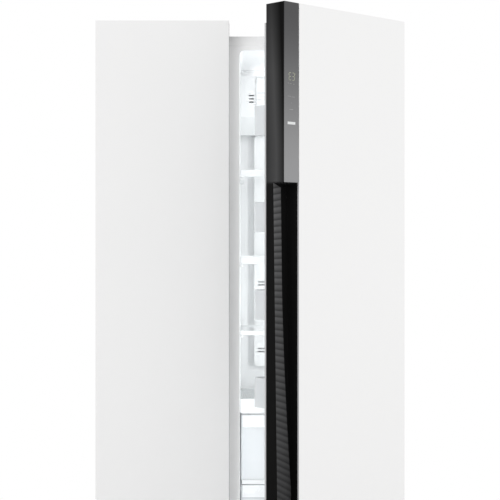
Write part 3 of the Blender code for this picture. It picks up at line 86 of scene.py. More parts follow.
HALF = (RIM_HIGH.x - RIM_LOW.x) / 2
CABINET_TOP = RIM_HIGH.z
CABINET_BACK = spans("outer_cabinet")[1][1]
LEFT_FREE = spans("left_door_panel")[0][1]
DOOR_Z = spans("left_door_panel")[2]
DOOR_FRONT = spans("left_door_panel")[1][0]
DOOR_BACK = spans("left_door_core")[1][1]
FREEZER_X = grown(spans("freezer_shelf_top")[0], 0.001)
FRIDGE_X = grown(spans("fridge_shelf_top")[0], 0.001)
RIGHT_HINGE = hinge_of("right_door_hinge")
LEFT_HINGE = hinge_of("left_door_hinge")
RIGHT_OPEN = math.radians(-JOINTS["right_door_hinge"]["range_deg"][0])

# The free edges of the doors, as on the CAD nodes
DOOR_GAP = 0.004
RIGHT_FREE = LEFT_FREE + DOOR_GAP
STRIP_WIDTH = 0.056
STRIP_BOTTOM = 1.290
STRIP_THICK = 0.0022
CHANNEL_DEPTH = 0.0455
CHANNEL_SLOPE = 0.0175
EDGE_RETURN = 0.0067
STRIP_SEAM = 0.0014
GRIP_MARGIN = 0.001
LEFT_RETURN = 0.006
LEFT_EDGE = 0.020
SHEET = 0.001
SKIN_CORNER = 0.0035
GAP = 0.0003
LINER_SEAT = DOOR_BACK - 0.0018
CAP_TOP = 0.064
CAP_BOTTOM = 0.032
HINGE_BORE = 0.0055
BIN_INSET = 0.028 + GAP
BIN_DEPTH = (-0.0117, 0.095)

# Inside and behind
ROOM_Z = (0.115, 1.710)
RAIL_SEAM_Z = (1.7218, 1.7228)
SHELF_TRIM = 0.012
COMPRESSOR_RADIUS = 0.076
COMPRESSOR_FEET = (0.085, 0.058)


# ---------------------------------------------------------------- modelling steps


def close_edit():
    if bpy.context.mode != "OBJECT":
        bpy.ops.object.mode_set(mode="OBJECT")


def activate(obj):
    close_edit()
    bpy.ops.object.select_all(action="DESELECT")
    obj.select_set(True)
    bpy.context.view_layer.objects.active = obj


def settle(name):
    """Names the new primitive and puts its place and size into its mesh."""
    obj = bpy.context.object
    obj.name = name
    obj.data.name = name
    bpy.ops.object.transform_apply(location=True, rotation=True, scale=True)
    return obj


def slab(name, x, y, z):
    """A block between three spans."""
    middle = Vector([sum(span) / 2 for span in (x, y, z)]) + ORIGIN
    size = [span[1] - span[0] for span in (x, y, z)]
    bpy.ops.mesh.primitive_cube_add(size=1, location=middle, scale=size)
    return settle(name)


def rod(name, start, end, radius, sides=24):
    """A round bar from one point to another."""
    start, end = Vector(start) + ORIGIN, Vector(end) + ORIGIN
    turn = (end - start).to_track_quat("Z", "Y").to_euler()
    bpy.ops.mesh.primitive_cylinder_add(
        vertices=sides, radius=radius, depth=(end - start).length,
        location=(start + end) / 2, rotation=turn,
    )
    return settle(name)


def apply(obj, kind, **settings):
    """Adds a modifier with its settings and applies it."""
    activate(obj)
    step = obj.modifiers.new(kind.lower(), kind)
    for key, value in settings.items():
        setattr(step, key, value)
    bpy.ops.object.modifier_apply(modifier=step.name)


def carve(obj, *cutters):
    """Cuts the other pieces out of a piece and discards them."""
    for cutter in cutters:
        apply(obj, "BOOLEAN", operation="DIFFERENCE", object=cutter, solver="EXACT")
        bpy.data.objects.remove(cutter)


def merge(name, *pieces):
    """Joins pieces into one object."""
    activate(pieces[0])
    for piece in pieces:
        piece.select_set(True)
    bpy.ops.object.join()
    pieces[0].name = name
    return pieces[0]


def select(obj, kind, wanted):
    """Opens a piece in edit mode with the faces or edges selected that pass a test."""
    activate(obj)
    bpy.ops.object.mode_set(mode="EDIT")
    bpy.ops.mesh.select_mode(type=kind)
    bpy.ops.mesh.select_all(action="DESELECT")
    work = bmesh.from_edit_mesh(obj.data)
    for part in work.faces if kind == "FACE" else work.edges:
        if wanted(part):
            part.select_set(True)
    bmesh.update_edit_mesh(obj.data)


def facing(*directions):
    """A test for faces that look along one of some directions."""
    return lambda face: any(face.normal.dot(Vector(way)) > 0.9 for way in directions)


def upright_at(x, y):
    """A test for vertical edges at a place in the cabinet's axes."""
    place = ORIGIN + Vector((x, y, 0))

    def wanted(edge):
        return all(
            abs(vert.co.x - place.x) < 0.0001 and abs(vert.co.y - place.y) < 0.0001
            for vert in edge.verts
        )

    return wanted


def polish(obj, edge=0.0, steps=2, angle=38):
    """Rounds the sharp edges and shades the piece smoothly round them."""
    if edge:
        apply(
            obj, "BEVEL", width=edge, segments=steps, limit_method="ANGLE",
            angle_limit=math.radians(angle),
        )
    activate(obj)
    bpy.ops.object.shade_smooth_by_angle(angle=math.radians(angle))
    apply(obj, "WEIGHTED_NORMAL", keep_sharp=True)


def fine_copy(node):
    """A copy of a CAD node with its triangles merged into clean faces, ready to be finished."""
    source = frame["nodes"][node]
    obj = bpy.data.objects.new("fine_" + node, source.data.copy())
    bpy.context.scene.collection.objects.link(obj)
    activate(obj)
    bpy.ops.object.mode_set(mode="EDIT")
    bpy.ops.mesh.select_all(action="SELECT")
    bpy.ops.mesh.remove_doubles(threshold=0.00002)
    bpy.ops.mesh.dissolve_limited(angle_limit=math.radians(0.5))
    close_edit()
    obj.data.materials.clear()
    return obj


def swing(obj):
    """Turns a piece of the right door from shut to the door's place in the frame."""
    centre = RIGHT_HINGE + ORIGIN
    turn = Matrix.Rotation(RIGHT_OPEN, 4, "Z")
    swung = Matrix.Translation(centre) @ turn @ Matrix.Translation(-centre)
    obj.matrix_world = swung @ obj.matrix_world
    activate(obj)
    bpy.ops.object.transform_apply(location=True, rotation=True, scale=True)


def remember_place(obj, swung):
    """Stores where each vertex stands with the door shut, for the painted highlight and shade that vary over a
    door.
    """
    turn = Matrix.Rotation(-RIGHT_OPEN if swung else 0, 3, "Z")
    places = obj.data.attributes.new("shut_place", "FLOAT_VECTOR", "POINT")
    for index, vert in enumerate(obj.data.vertices):
        places.data[index].vector = turn @ (vert.co - RIGHT_HINGE - ORIGIN) + RIGHT_HINGE


def fit(obj, body, slot, *replaced, look=None):
    """Gives a piece its finish, its body, and the CAD nodes that it stands for."""
    obj.data.materials.clear()
    obj.data.materials.append(look or LOOKS[slot])
    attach(obj, body)
    if replaced:
        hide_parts(*replaced)


# ---------------------------------------------------------------- finishes


class Link:
    """An output of a node, with the arithmetic that adds Math nodes."""

    def __init__(self, look, socket):
        self.look = look
        self.socket = socket

    def math(self, operation, first, second):
        return self.look.math(operation, first, second)

    def __add__(self, other):
        return self.math("ADD", self, other)

    def __radd__(self, other):
        return self.math("ADD", other, self)

    def __sub__(self, other):
        return self.math("SUBTRACT", self, other)

    def __rsub__(self, other):
        return self.math("SUBTRACT", other, self)

    def __mul__(self, other):
        return self.math("MULTIPLY", self, other)

    def __rmul__(self, other):
        return self.math("MULTIPLY", other, self)

    def __pow__(self, other):
        return self.math("POWER", self, other)


class Look:
    """A material on the Principled shader; what is constant is set on the shader's sockets."""

    def __init__(self, name, **constants):
        self.material = bpy.data.materials.new(name)
        self.material.use_nodes = True
        self.tree = self.material.node_tree
        self.shader = self.tree.nodes["Principled BSDF"]
        for key, value in constants.items():
            self.shader.inputs[key.replace("_", " ")].default_value = value

    def node(self, kind, settings, sockets, output=0):
        """Adds a node: its settings first, then the values or links of its sockets."""
        made = self.tree.nodes.new(kind)
        for key, value in settings.items():
            setattr(made, key, value)
        for key, value in sockets.items():
            self.feed(made.inputs[key], value)
        return Link(self, made.outputs[output])

    def feed(self, socket, value):
        if isinstance(value, Link):
            self.tree.links.new(value.socket, socket)
        else:
            socket.default_value = value

    def math(self, operation, *values):
        return self.node("ShaderNodeMath", {"operation": operation}, dict(enumerate(values)))

    def place(self, stretch=(1, 1, 1)):
        here = self.node("ShaderNodeTexCoord", {}, {}, "Object")
        return self.node("ShaderNodeMapping", {}, {"Vector": here, "Scale": stretch})

    def noise(self, scale, detail=2.0, stretch=(1, 1, 1)):
        sockets = {"Vector": self.place(stretch), "Scale": scale, "Detail": detail}
        return self.node("ShaderNodeTexNoise", {}, sockets)

    def shut_place(self, axis):
        """A coordinate in the cabinet's axes, with the doors shut."""
        here = self.node("ShaderNodeAttribute", {"attribute_name": "shut_place"}, {}, "Vector")
        return self.node("ShaderNodeSeparateXYZ", {}, {0: here}, axis)

    def height(self, low, high):
        """0 at a low level and 1 at a high one."""
        return self.contrast(self.coordinate("Z"), low, high)

    def coordinate(self, axis):
        here = self.node("ShaderNodeTexCoord", {}, {}, "Object")
        return self.node("ShaderNodeSeparateXYZ", {}, {0: here}, axis)

    def tint(self, factor, low, high):
        """A colour between two others."""
        colours = {0: factor, 6: self.rgba(low), 7: self.rgba(high)}
        return self.node("ShaderNodeMix", {"data_type": "RGBA"}, colours, 2)

    def rgba(self, colour):
        return colour if isinstance(colour, Link) else (*colour, 1)

    def contrast(self, value, low, high):
        """Stretches the part of a pattern between two values over 0 to 1."""
        sockets = {"Value": value, "From Min": low, "From Max": high}
        return self.node("ShaderNodeMapRange", {"clamp": True}, sockets)

    def relief(self, height, strength, distance):
        sockets = {"Height": height, "Strength": strength, "Distance": distance}
        self.feed(self.shader.inputs["Normal"], self.node("ShaderNodeBump", {}, sockets))

    def finish(self, colour, roughness):
        self.feed(self.shader.inputs["Base Color"], self.rgba(colour))
        self.feed(self.shader.inputs["Roughness"], roughness)
        return self.material


def shade_of(colour, share):
    return tuple(channel * share for channel in colour)


def enamel(name, colour, gloss):
    """Baked paint on sheet steel, with a fine orange peel and faint wiping marks."""
    look = Look(name, Coat_Weight=0.2, Coat_Roughness=0.15)
    cloud = look.noise(2.2, 3.0)
    wipes = look.contrast(look.noise(7.0, 4.0, stretch=(1, 1, 0.35)), 0.35, 0.75)
    peel = look.noise(700.0, 1.0)
    dust = 1 - look.height(0.0, 0.25)
    plain = look.tint(cloud, shade_of(colour, 0.985), colour)
    grain = look.contrast(look.noise(420.0, 2.0), 0.72, 0.80)
    speckled = look.tint(grain * 0.10, plain, shade_of(colour, 0.8))
    base = look.tint(dust * 0.10, speckled, shade_of(colour, 0.86))
    look.relief(peel, 0.06, 0.0004)
    return look.finish(base, gloss + wipes * 0.10 + dust * 0.08)


def rim_enamel():
    """Satin grey paint, with painted light: shaded grey at the left, growing paler to near white towards the right
    where light falls on the rim's top rail.
    """
    look = Look("rim_enamel", Coat_Weight=0.1, Coat_Roughness=0.2)
    cloud = look.noise(2.5, 3.0)
    edge = LEFT_FREE + ORIGIN.x
    # painted light and shade: the grey is painted shaded at the left and lit towards the right
    across = look.contrast(look.coordinate("X"), edge + 0.02, edge + 0.14)
    base = look.tint(across, (0.62, 0.62, 0.62), (0.90, 0.90, 0.905))
    base = look.tint(cloud * 0.08, base, (0.42, 0.42, 0.43))
    wipes = look.contrast(look.noise(8.0, 4.0), 0.4, 0.8)
    look.relief(look.noise(650.0, 1.0), 0.05, 0.0003)
    return look.finish(base, 0.40 + wipes * 0.10)


def moulded(name, colour, gloss, grain, coarse):
    """Moulded plastic: a fine grain, slow colour drift and dulled patches where it is handled."""
    look = Look(name)
    cloud = look.noise(5.0, 3.0)
    skin = look.noise(coarse, 2.0)
    rubbed = look.contrast(look.noise(16.0, 4.0), 0.5, 0.8)
    base = look.tint(cloud, shade_of(colour, 0.96), colour)
    base = look.tint(rubbed * 0.15, base, tuple(between(channel, 0.5, 0.06) for channel in colour))
    look.relief(skin, grain, 0.0004)
    return look.finish(base, gloss + cloud * 0.06 + rubbed * 0.08)


def control_glass():
    """The smoked control strip: near black at its top, with a painted reflection that makes it mid grey at its
    bottom.
    """
    look = Look("smoked_strip", Coat_Weight=0.6, Coat_Roughness=0.05, Specular_IOR_Level=0.4)
    level = look.height(STRIP_BOTTOM, DOOR_Z[1])
    cloud = look.noise(30.0, 3.0)
    # painted reflection: the glass is coloured from near black at the top to mid grey at the bottom
    fade = look.node("ShaderNodeMapRange", {"interpolation_type": "SMOOTHSTEP"}, {"Value": level})
    base = look.tint(fade, (0.27, 0.27, 0.275), (0.022, 0.022, 0.024))
    base = look.tint(cloud * 0.06, base, (0.10, 0.10, 0.11))
    look.relief(look.noise(1200.0, 1.0), 0.02, 0.0002)
    return look.finish(base, 0.16 + cloud * 0.06)


def gloss_black():
    """Polished black moulding with hair-fine scratches; a painted highlight makes the middle of its upper part
    paler, and painted shade darkens it towards the bottom of the grip channel.
    """
    look = Look("gloss_black_moulding", Specular_IOR_Level=0.03)
    depth = look.contrast(look.shut_place("Y"), DOOR_BACK, DOOR_FRONT)
    up = look.shut_place("Z")
    upper = look.contrast(up, STRIP_BOTTOM - 0.004, STRIP_BOTTOM + 0.004)
    # painted highlight: a soft pale band across the upper side face, weaker near the top
    highlight_fade = 1 - look.contrast(up, 1.60, DOOR_Z[1]) * 0.55
    past_highlight_crest = depth - (0.55 - look.contrast(up, 1.38, DOOR_Z[1]) * 0.32)
    highlight_falloff = look.math("MAXIMUM", past_highlight_crest * 2.0, past_highlight_crest * -0.9)
    middle = look.math("MAXIMUM", 1 - highlight_falloff, 0.0)
    channel_shade = look.contrast(up, DOOR_Z[0], STRIP_BOTTOM)
    hairs = look.noise(260.0, 3.0, stretch=(1, 1, 0.02))
    cloud = look.noise(9.0, 3.0)
    worn = look.contrast(hairs, 0.62, 0.75)
    # painted shade: the moulding is darker towards the bottom of the grip channel
    base = look.tint(channel_shade, (0.0025, 0.0025, 0.0025), (0.007, 0.007, 0.007))
    base = look.tint(upper, base, (0.004, 0.004, 0.004))
    base = look.tint(middle * highlight_fade * upper, base, (0.064, 0.064, 0.065))
    base = look.tint(worn * 0.10, base, (0.035, 0.035, 0.037))
    look.relief(hairs, 0.02, 0.0002)
    return look.finish(base, 0.20 + cloud * 0.08 + worn * 0.10)


def ribbed_rubber():
    """The grip's soft dark grey with a matt grain; painted shade darkens its grooves and its lower part, so it is
    paler towards its top.
    """
    look = Look("ribbed_grip_rubber", Specular_IOR_Level=0.08)
    level = look.contrast(look.shut_place("Z"), DOOR_Z[0], STRIP_BOTTOM)
    leaf = look.node("ShaderNodeAttribute", {"attribute_name": "rib_height"}, {}, "Fac")
    grain = look.noise(900.0, 2.0)
    cloud = look.noise(12.0, 3.0)
    # painted shade: rib_height darkens the grooves, and the rubber is painted darker lower down
    crest = look.tint(level ** 1.1, (0.030, 0.030, 0.031), (0.118, 0.118, 0.120))
    groove = look.tint(level ** 1.1, (0.011, 0.011, 0.011), (0.045, 0.045, 0.046))
    base = look.tint(look.contrast(leaf, 0.10, 0.75), groove, crest)
    base = look.tint(look.contrast(cloud, 0.5, 0.8) * 0.08, base, (0.15, 0.15, 0.15))
    look.relief(grain, 0.18, 0.0003)
    return look.finish(base, 0.46 + cloud * 0.10)


def shelf_pane():
    """Toughened glass, seen as a pale green tint with soft reflections."""
    look = Look("shelf_glass_pane", Alpha=0.20, IOR=1.5, Coat_Weight=0.5, Coat_Roughness=0.02)
    smear = look.noise(11.0, 4.0)
    base = look.tint(smear, (0.80, 0.88, 0.87), (0.85, 0.92, 0.91))
    look.relief(look.noise(3.0, 1.0), 0.01, 0.001)
    return look.finish(base, 0.03 + smear * 0.06)


def clear_plastic():
    """Frosted drawer and bin plastic with flow marks from its moulding."""
    look = Look("frosted_clear_plastic", Alpha=0.62, IOR=1.49)
    flow = look.noise(8.0, 4.0, stretch=(1, 1, 3))
    frost = look.noise(500.0, 2.0)
    base = look.tint(flow, (0.88, 0.92, 0.94), (0.93, 0.95, 0.97))
    look.relief(frost, 0.08, 0.0003)
    return look.finish(base, 0.20 + flow * 0.10)


def lamp_lens():
    """The lit white lens."""
    look = Look("lamp_lens", Emission_Strength=0.05)
    look.shader.inputs["Emission Color"].default_value = (1.0, 1.0, 0.99, 1)
    ribs = look.noise(160.0, 1.0, stretch=(1, 1, 0.05))
    base = look.tint(look.noise(6.0, 2.0), (0.88, 0.90, 0.91), (0.92, 0.94, 0.95))
    look.relief(ribs, 0.05, 0.0003)
    return look.finish(base, 0.22 + ribs * 0.08)


def foam_block():
    """Rigid cast foam: cream, with open pores."""
    look = Look("cast_foam", Specular_IOR_Level=0.2)
    pores = look.node("ShaderNodeTexVoronoi", {}, {"Vector": look.place(), "Scale": 320.0})
    cloud = look.noise(14.0, 4.0)
    base = look.tint(cloud, (0.66, 0.56, 0.32), (0.80, 0.70, 0.44))
    look.relief(pores, 0.4, 0.001)
    return look.finish(base, 0.85 + cloud * 0.1)


def zinc_steel():
    """Plated steel with its mottled bright grain."""
    look = Look("zinc_plated_steel", Metallic=1.0)
    spangle = look.node("ShaderNodeTexVoronoi", {}, {"Vector": look.place(), "Scale": 90.0})
    cloud = look.noise(20.0, 4.0)
    base = look.tint(spangle, (0.50, 0.51, 0.53), (0.66, 0.67, 0.68))
    base = look.tint(look.contrast(cloud, 0.55, 0.8) * 0.3, base, (0.42, 0.40, 0.37))
    look.relief(look.noise(300.0, 2.0), 0.06, 0.0003)
    return look.finish(base, 0.30 + cloud * 0.18)


def bare_aluminium():
    look = Look("bare_aluminium", Metallic=1.0)
    streaks = look.noise(60.0, 4.0, stretch=(0.1, 1, 1))
    base = look.tint(streaks, (0.60, 0.61, 0.62), (0.74, 0.75, 0.76))
    look.relief(streaks, 0.08, 0.0003)
    return look.finish(base, 0.28 + streaks * 0.2)


def soft_seal():
    """The magnetic seal: soft pale grey vinyl with a faint bloom."""
    look = Look("soft_grey_seal", Specular_IOR_Level=0.35)
    bloom = look.noise(25.0, 4.0)
    base = look.tint(bloom, (0.50, 0.50, 0.505), (0.56, 0.56, 0.565))
    look.relief(look.noise(650.0, 2.0), 0.10, 0.0003)
    return look.finish(base, 0.55 + bloom * 0.15)


def copper_pipe():
    look = Look("copper_pipe", Metallic=1.0)
    tarnish = look.noise(30.0, 4.0)
    base = look.tint(tarnish, (0.42, 0.20, 0.12), (0.72, 0.40, 0.26))
    look.relief(look.noise(200.0, 2.0), 0.05, 0.0003)
    return look.finish(base, 0.30 + tarnish * 0.2)


def printed(name, colour, glow):
    """Printed or lit marks on the control strip."""
    look = Look(name, Emission_Strength=glow)
    look.shader.inputs["Emission Color"].default_value = (*colour, 1)
    grain = look.noise(2500.0, 1.0)
    look.relief(grain, 0.02, 0.0001)
    return look.finish(look.tint(grain, shade_of(colour, 0.92), colour), 0.35 + grain * 0.1)


WHITE = (0.900, 0.898, 0.896)
LINER_WHITE = (0.930, 0.942, 0.950)
LOOKS = {
    "door_paint": enamel("white_enamel", WHITE, 0.28),
    "cabinet_paint": enamel("grey_enamel", (0.50, 0.50, 0.505), 0.36),
    "rim_paint": rim_enamel(),
    "liner": moulded("white_liner", LINER_WHITE, 0.26, 0.05, 300.0),
    "seal": soft_seal(),
    "black_moulding": gloss_black(),
    "panel_glass": control_glass(),
    "ribbed_grip": ribbed_rubber(),
    "shelf_glass": shelf_pane(),
    "drawer_plastic": clear_plastic(),
    "foam": foam_block(),
    "steel": zinc_steel(),
    "black_paint": enamel("black_stove_enamel", (0.018, 0.018, 0.018), 0.38),
    "black_plastic": moulded("black_plastic", (0.024, 0.024, 0.025), 0.48, 0.25, 260.0),
    "coil_aluminium": bare_aluminium(),
    "lamp_lens": lamp_lens(),
}
WHITE_TRIM = moulded("white_trim", (0.86, 0.875, 0.885), 0.24, 0.04, 350.0)
CAP_PLASTIC = moulded("white_cap_plastic", (0.78, 0.785, 0.79), 0.38, 0.10, 380.0)
# painted shade: grey for the rounded turned-in edge of the white door sheet
EDGE_SHADE_GREY = moulded("painted_edge_shade", (0.42, 0.42, 0.43), 0.25, 0.03, 300.0)
COPPER = copper_pipe()
RUBBER = moulded("mount_rubber", (0.03, 0.03, 0.03), 0.70, 0.20, 200.0)
LIT_DIGITS = printed("lit_digits", (0.40, 0.41, 0.30), 0.10)
DIM_PRINT = printed("dim_print", (0.30, 0.30, 0.30), 0.02)
WHITE_PRINT = printed("white_print", (0.74, 0.75, 0.75), 0.06)


# ---------------------------------------------------------------- doors


class Door:
    """A door: 'way' points from its free edge to its hinge; 'swings' if the frame holds it open."""

    def __init__(self, side, free, hinge, room, edge, swings):
        self.side = side
        self.body = side + "_door"
        self.free = free
        self.hinge = hinge
        self.way = math.copysign(1, hinge.x - free)
        self.outer = self.way * HALF
        self.room = room
        self.core_start = free + self.way * edge
        self.swings = swings

    def span(self, start, end):
        return (min(start, end), max(start, end))

    def fit(self, obj, slot, *replaced, look=None):
        """Swings a piece that was modelled shut into the door's place, and finishes it."""
        if self.swings:
            swing(obj)
        remember_place(obj, self.swings)
        fit(obj, self.body, slot, *replaced, look=look)

    def node(self, name):
        return f"{self.side}_door_{name}"

    def hinge_pocket(self):
        """The corner that the cabinet's hinge neck swings in."""
        return slab(
            "pocket",
            self.span(self.hinge.x - self.way * 0.035, self.outer + self.way * 0.01),
            (DOOR_FRONT + 0.006, DOOR_BACK + 0.02),
            (CABINET_TOP - 0.001, DOOR_Z[1] + 0.01),
        )


RIGHT = Door("right", RIGHT_FREE, RIGHT_HINGE, FRIDGE_X, STRIP_WIDTH + 0.002, True)
LEFT = Door("left", LEFT_FREE, LEFT_HINGE, FREEZER_X, LEFT_EDGE, False)


def door_skin(door, start, turn_in):
    """The folded front sheet: rounded at the hinge side, turned in at the free side."""
    skin = slab(door.node("skin"), door.span(start, door.outer), (DOOR_FRONT, DOOR_BACK), DOOR_Z)
    select(skin, "FACE", facing((0, 1, 0), (0, 0, 1), (0, 0, -1), (-door.way, 0, 0)))
    bpy.ops.mesh.delete(type="FACE")
    select(skin, "EDGE", upright_at(start, DOOR_FRONT))
    bpy.ops.mesh.extrude_region_move(TRANSFORM_OT_translate={"value": (0, turn_in, 0)})
    select(skin, "EDGE", upright_at(door.outer, DOOR_FRONT))
    bpy.ops.mesh.bevel(offset=SKIN_CORNER, segments=6, affect="EDGES")
    select(skin, "EDGE", upright_at(start, DOOR_FRONT))
    bpy.ops.mesh.bevel(offset=0.0012, segments=3, affect="EDGES")
    bpy.ops.mesh.select_all(action="SELECT")
    bpy.ops.mesh.normals_make_consistent(inside=False)
    close_edit()
    face = max(skin.data.polygons, key=lambda polygon: polygon.area)
    if face.normal.y > 0:
        skin.data.flip_normals()
    apply(skin, "SOLIDIFY", thickness=SHEET, offset=-1, use_even_offset=True)
    carve(skin, door.hinge_pocket())
    polish(skin, 0.0003, 1)
    door.fit(skin, "door_paint", door.node("panel"))


def door_ends(door):
    """The moulded caps that close the door's top and bottom, with the foam between them."""
    x = door.span(door.core_start + door.way * GAP, door.outer - door.way * (SHEET + GAP))
    y = (DOOR_FRONT + SHEET + GAP, DOOR_BACK)
    top = slab(door.node("top_cap"), x, y, (DOOR_Z[1] - CAP_TOP, DOOR_Z[1] - GAP))
    hx, hy = door.hinge.x, door.hinge.y
    top_bore = rod("bore", (hx, hy, CABINET_TOP - 0.024), (hx, hy, CABINET_TOP + 0.01), HINGE_BORE)
    carve(top, door.hinge_pocket(), top_bore)
    polish(top, 0.0012, 3)
    door.fit(top, "foam", door.node("core"), look=CAP_PLASTIC)
    bottom = slab(door.node("bottom_cap"), x, y, (DOOR_Z[0], DOOR_Z[0] + CAP_BOTTOM))
    carve(bottom, rod("bore", (hx, hy, DOOR_Z[0] - 0.01), (hx, hy, DOOR_Z[0] + 0.022), HINGE_BORE))
    polish(bottom, 0.0012, 3)
    door.fit(bottom, "foam", door.node("core"), look=CAP_PLASTIC)
    filling = slab(
        door.node("filling"),
        x,
        (y[0], LINER_SEAT - GAP),
        (DOOR_Z[0] + CAP_BOTTOM + GAP, DOOR_Z[1] - CAP_TOP - GAP),
    )
    polish(filling, 0.002, 2)
    door.fit(filling, "foam", door.node("core"))


def seal_ring(name, x, y, z, width):
    ring = slab(name, x, y, z)
    carve(ring, slab("opening", grown(x, -width), grown(y, 0.01), grown(z, -width)))
    return ring


def door_seal(door):
    """The magnetic seal: a wide lip on a narrow bellows, with a groove round its face."""
    free = door.free + door.way * 0.003
    x = door.span(free, door.hinge.x - door.way * 0.002)
    z = grown(ROOM_Z, 0.025)
    lip = seal_ring(door.node("seal"), x, (-0.0062, -GAP), z, 0.018)
    groove = seal_ring("groove", grown(x, -0.008), (-0.0012, 0.001), grown(z, -0.008), 0.003)
    carve(lip, groove)
    neck = seal_ring("neck", grown(x, -0.0045), (-0.0118, -0.0058), grown(z, -0.0045), 0.009)
    pleat = seal_ring("pleat", grown(x, -0.0030), (-0.0098, -0.0078), grown(z, -0.0030), 0.012)
    seal = merge(door.node("seal"), lip, neck, pleat)
    polish(seal, 0.0006, 2)
    door.fit(seal, "seal", door.node("gasket"))


def door_inside(door):
    """The vacuum-formed inner face, with its border's edges well rounded."""
    inner = fine_copy(door.node("liner"))
    polish(inner, 0.0016, 3)
    fit(inner, door.body, "liner", door.node("liner"))


def bin_rail(door, index):
    """The bright rail along the top front edge of a bin."""
    x, y, z = in_shut_door(door, index)
    rail = slab(
        door.node(f"bin_{index}_rail"),
        grown(x, -0.002),
        (y[1] - 0.0045, y[1] + 0.0012),
        (z[1] - 0.016, z[1] + 0.0015),
    )
    polish(rail, 0.0014, 3)
    door.fit(rail, "drawer_plastic", look=WHITE_TRIM)


def in_shut_door(door, index):
    """The spans of a bin with its door shut."""
    z = spans(door.node(f"bin_{index}"))[2]
    return grown(door.room, -BIN_INSET), BIN_DEPTH, z


def door_bins(door, count):
    for index in range(1, count + 1):
        node = door.node(f"bin_{index}")
        body = fine_copy(node)
        polish(body, 0.0012, 3)
        fit(body, door.body, "drawer_plastic", node)
        bin_rail(door, index)


def channel_floor(z):
    return CHANNEL_DEPTH - (STRIP_BOTTOM - z) * CHANNEL_SLOPE


def grip_width(z):
    """The grip is narrow down to a level, then sweeps out to the channel's full width."""
    narrow, full = 0.030, STRIP_WIDTH - GRIP_MARGIN
    sweep_top, sweep_length = 1.000, 0.560
    slant_length = 0.012
    share = min(max((sweep_top - z) / sweep_length, 0), 1) ** 1.6
    slant = max(0, z - (STRIP_BOTTOM - 0.0125)) / slant_length
    return between(narrow, full, share) - slant * (narrow - GRIP_MARGIN)


def grip_leaf(inward, z):
    """Height, from 0 to 1, of overlapping ribs that lean one way at the top and the other below."""
    pitch, crest, bulge = 0.0177, 0.86, 0.7
    level_at = 1.05
    lean = (z - level_at) * 0.8
    phase = (z - inward * lean) / pitch
    share = phase - math.floor(phase)
    return share ** bulge if share < crest else (1 - share) / 0.14 * crest ** bulge


def grip_ribs(door):
    """The ribbed strip on the channel's floor."""
    z_low, z_high = DOOR_Z[0] + 0.002, STRIP_BOTTOM - 0.0008
    rows, columns = 600, 8
    bpy.ops.mesh.primitive_grid_add(x_subdivisions=columns, y_subdivisions=rows, size=1)
    grip = settle(door.node("grip_ribs"))
    base, rib, border = 0.0003, 0.0011, 0.0025
    heights = []
    for vert in grip.data.vertices:
        z = between(z_low, z_high, vert.co.y + 0.5)
        inward = between(GRIP_MARGIN, max(grip_width(z), GRIP_MARGIN + 0.0002), vert.co.x + 0.5)
        edge = min(inward - GRIP_MARGIN, grip_width(z) - inward) / border
        leaf = grip_leaf(inward, z)
        heights.append(leaf)
        rise = base + rib * leaf * min(max(edge, 0.15), 1)
        front = DOOR_FRONT + channel_floor(z) - GAP - rise
        vert.co = ORIGIN + Vector((door.free + door.way * inward, front, z))
    # rib_height also sets the painted shade in the grip's grooves
    grip.data.attributes.new("rib_height", "FLOAT", "POINT").data.foreach_set("value", heights)
    select(grip, "FACE", lambda face: True)
    bpy.ops.mesh.normals_make_consistent(inside=False)
    close_edit()
    middle = grip.data.polygons[len(grip.data.polygons) // 2]
    if middle.normal.y > 0:
        grip.data.flip_normals()
    apply(grip, "SOLIDIFY", thickness=0.0003, offset=-1)
    polish(grip, angle=50)
    door.fit(grip, "ribbed_grip", "right_door_grip_insert")


def control_strip(door):
    """The strip's glass with a rounded free edge."""
    x = door.span(door.free, door.free + door.way * (STRIP_WIDTH - GAP))
    z = (STRIP_BOTTOM, DOOR_Z[1])
    strip = slab(door.node("strip"), x, (DOOR_FRONT, DOOR_FRONT + STRIP_THICK), z)
    select(strip, "EDGE", upright_at(door.free, DOOR_FRONT))
    bpy.ops.mesh.bevel(offset=0.0018, segments=5, affect="EDGES")
    close_edit()
    polish(strip, 0.0003, 1)
    door.fit(strip, "panel_glass", "right_door_control_panel")


def mark(width, tall, across, up, front):
    """A small flat plate on the strip, for one stroke of a mark."""
    return slab(
        "stroke",
        grown((across, across), width / 2),
        (front, front + 0.0002),
        grown((up, up), tall / 2),
    )


def digit(across, up, front, lit):
    """A seven-stroke figure; 'lit' names its strokes."""
    wide, tall, stroke = 0.0085, 0.0200, 0.0014
    bar, post = wide - stroke * 1.6, tall / 2 - stroke * 1.6
    strokes = {
        "top": (bar, stroke, 0, tall / 2),
        "middle": (bar, stroke, 0, 0),
        "bottom": (bar, stroke, 0, -tall / 2),
        "upper_left": (stroke, post, -wide / 2, tall / 4),
        "upper_right": (stroke, post, wide / 2, tall / 4),
        "lower_left": (stroke, post, -wide / 2, -tall / 4),
        "lower_right": (stroke, post, wide / 2, -tall / 4),
    }
    marks = []
    for name in lit:
        width, height, aside, above = strokes[name]
        marks.append(mark(width, height, across + aside, up + above, front))
    return marks


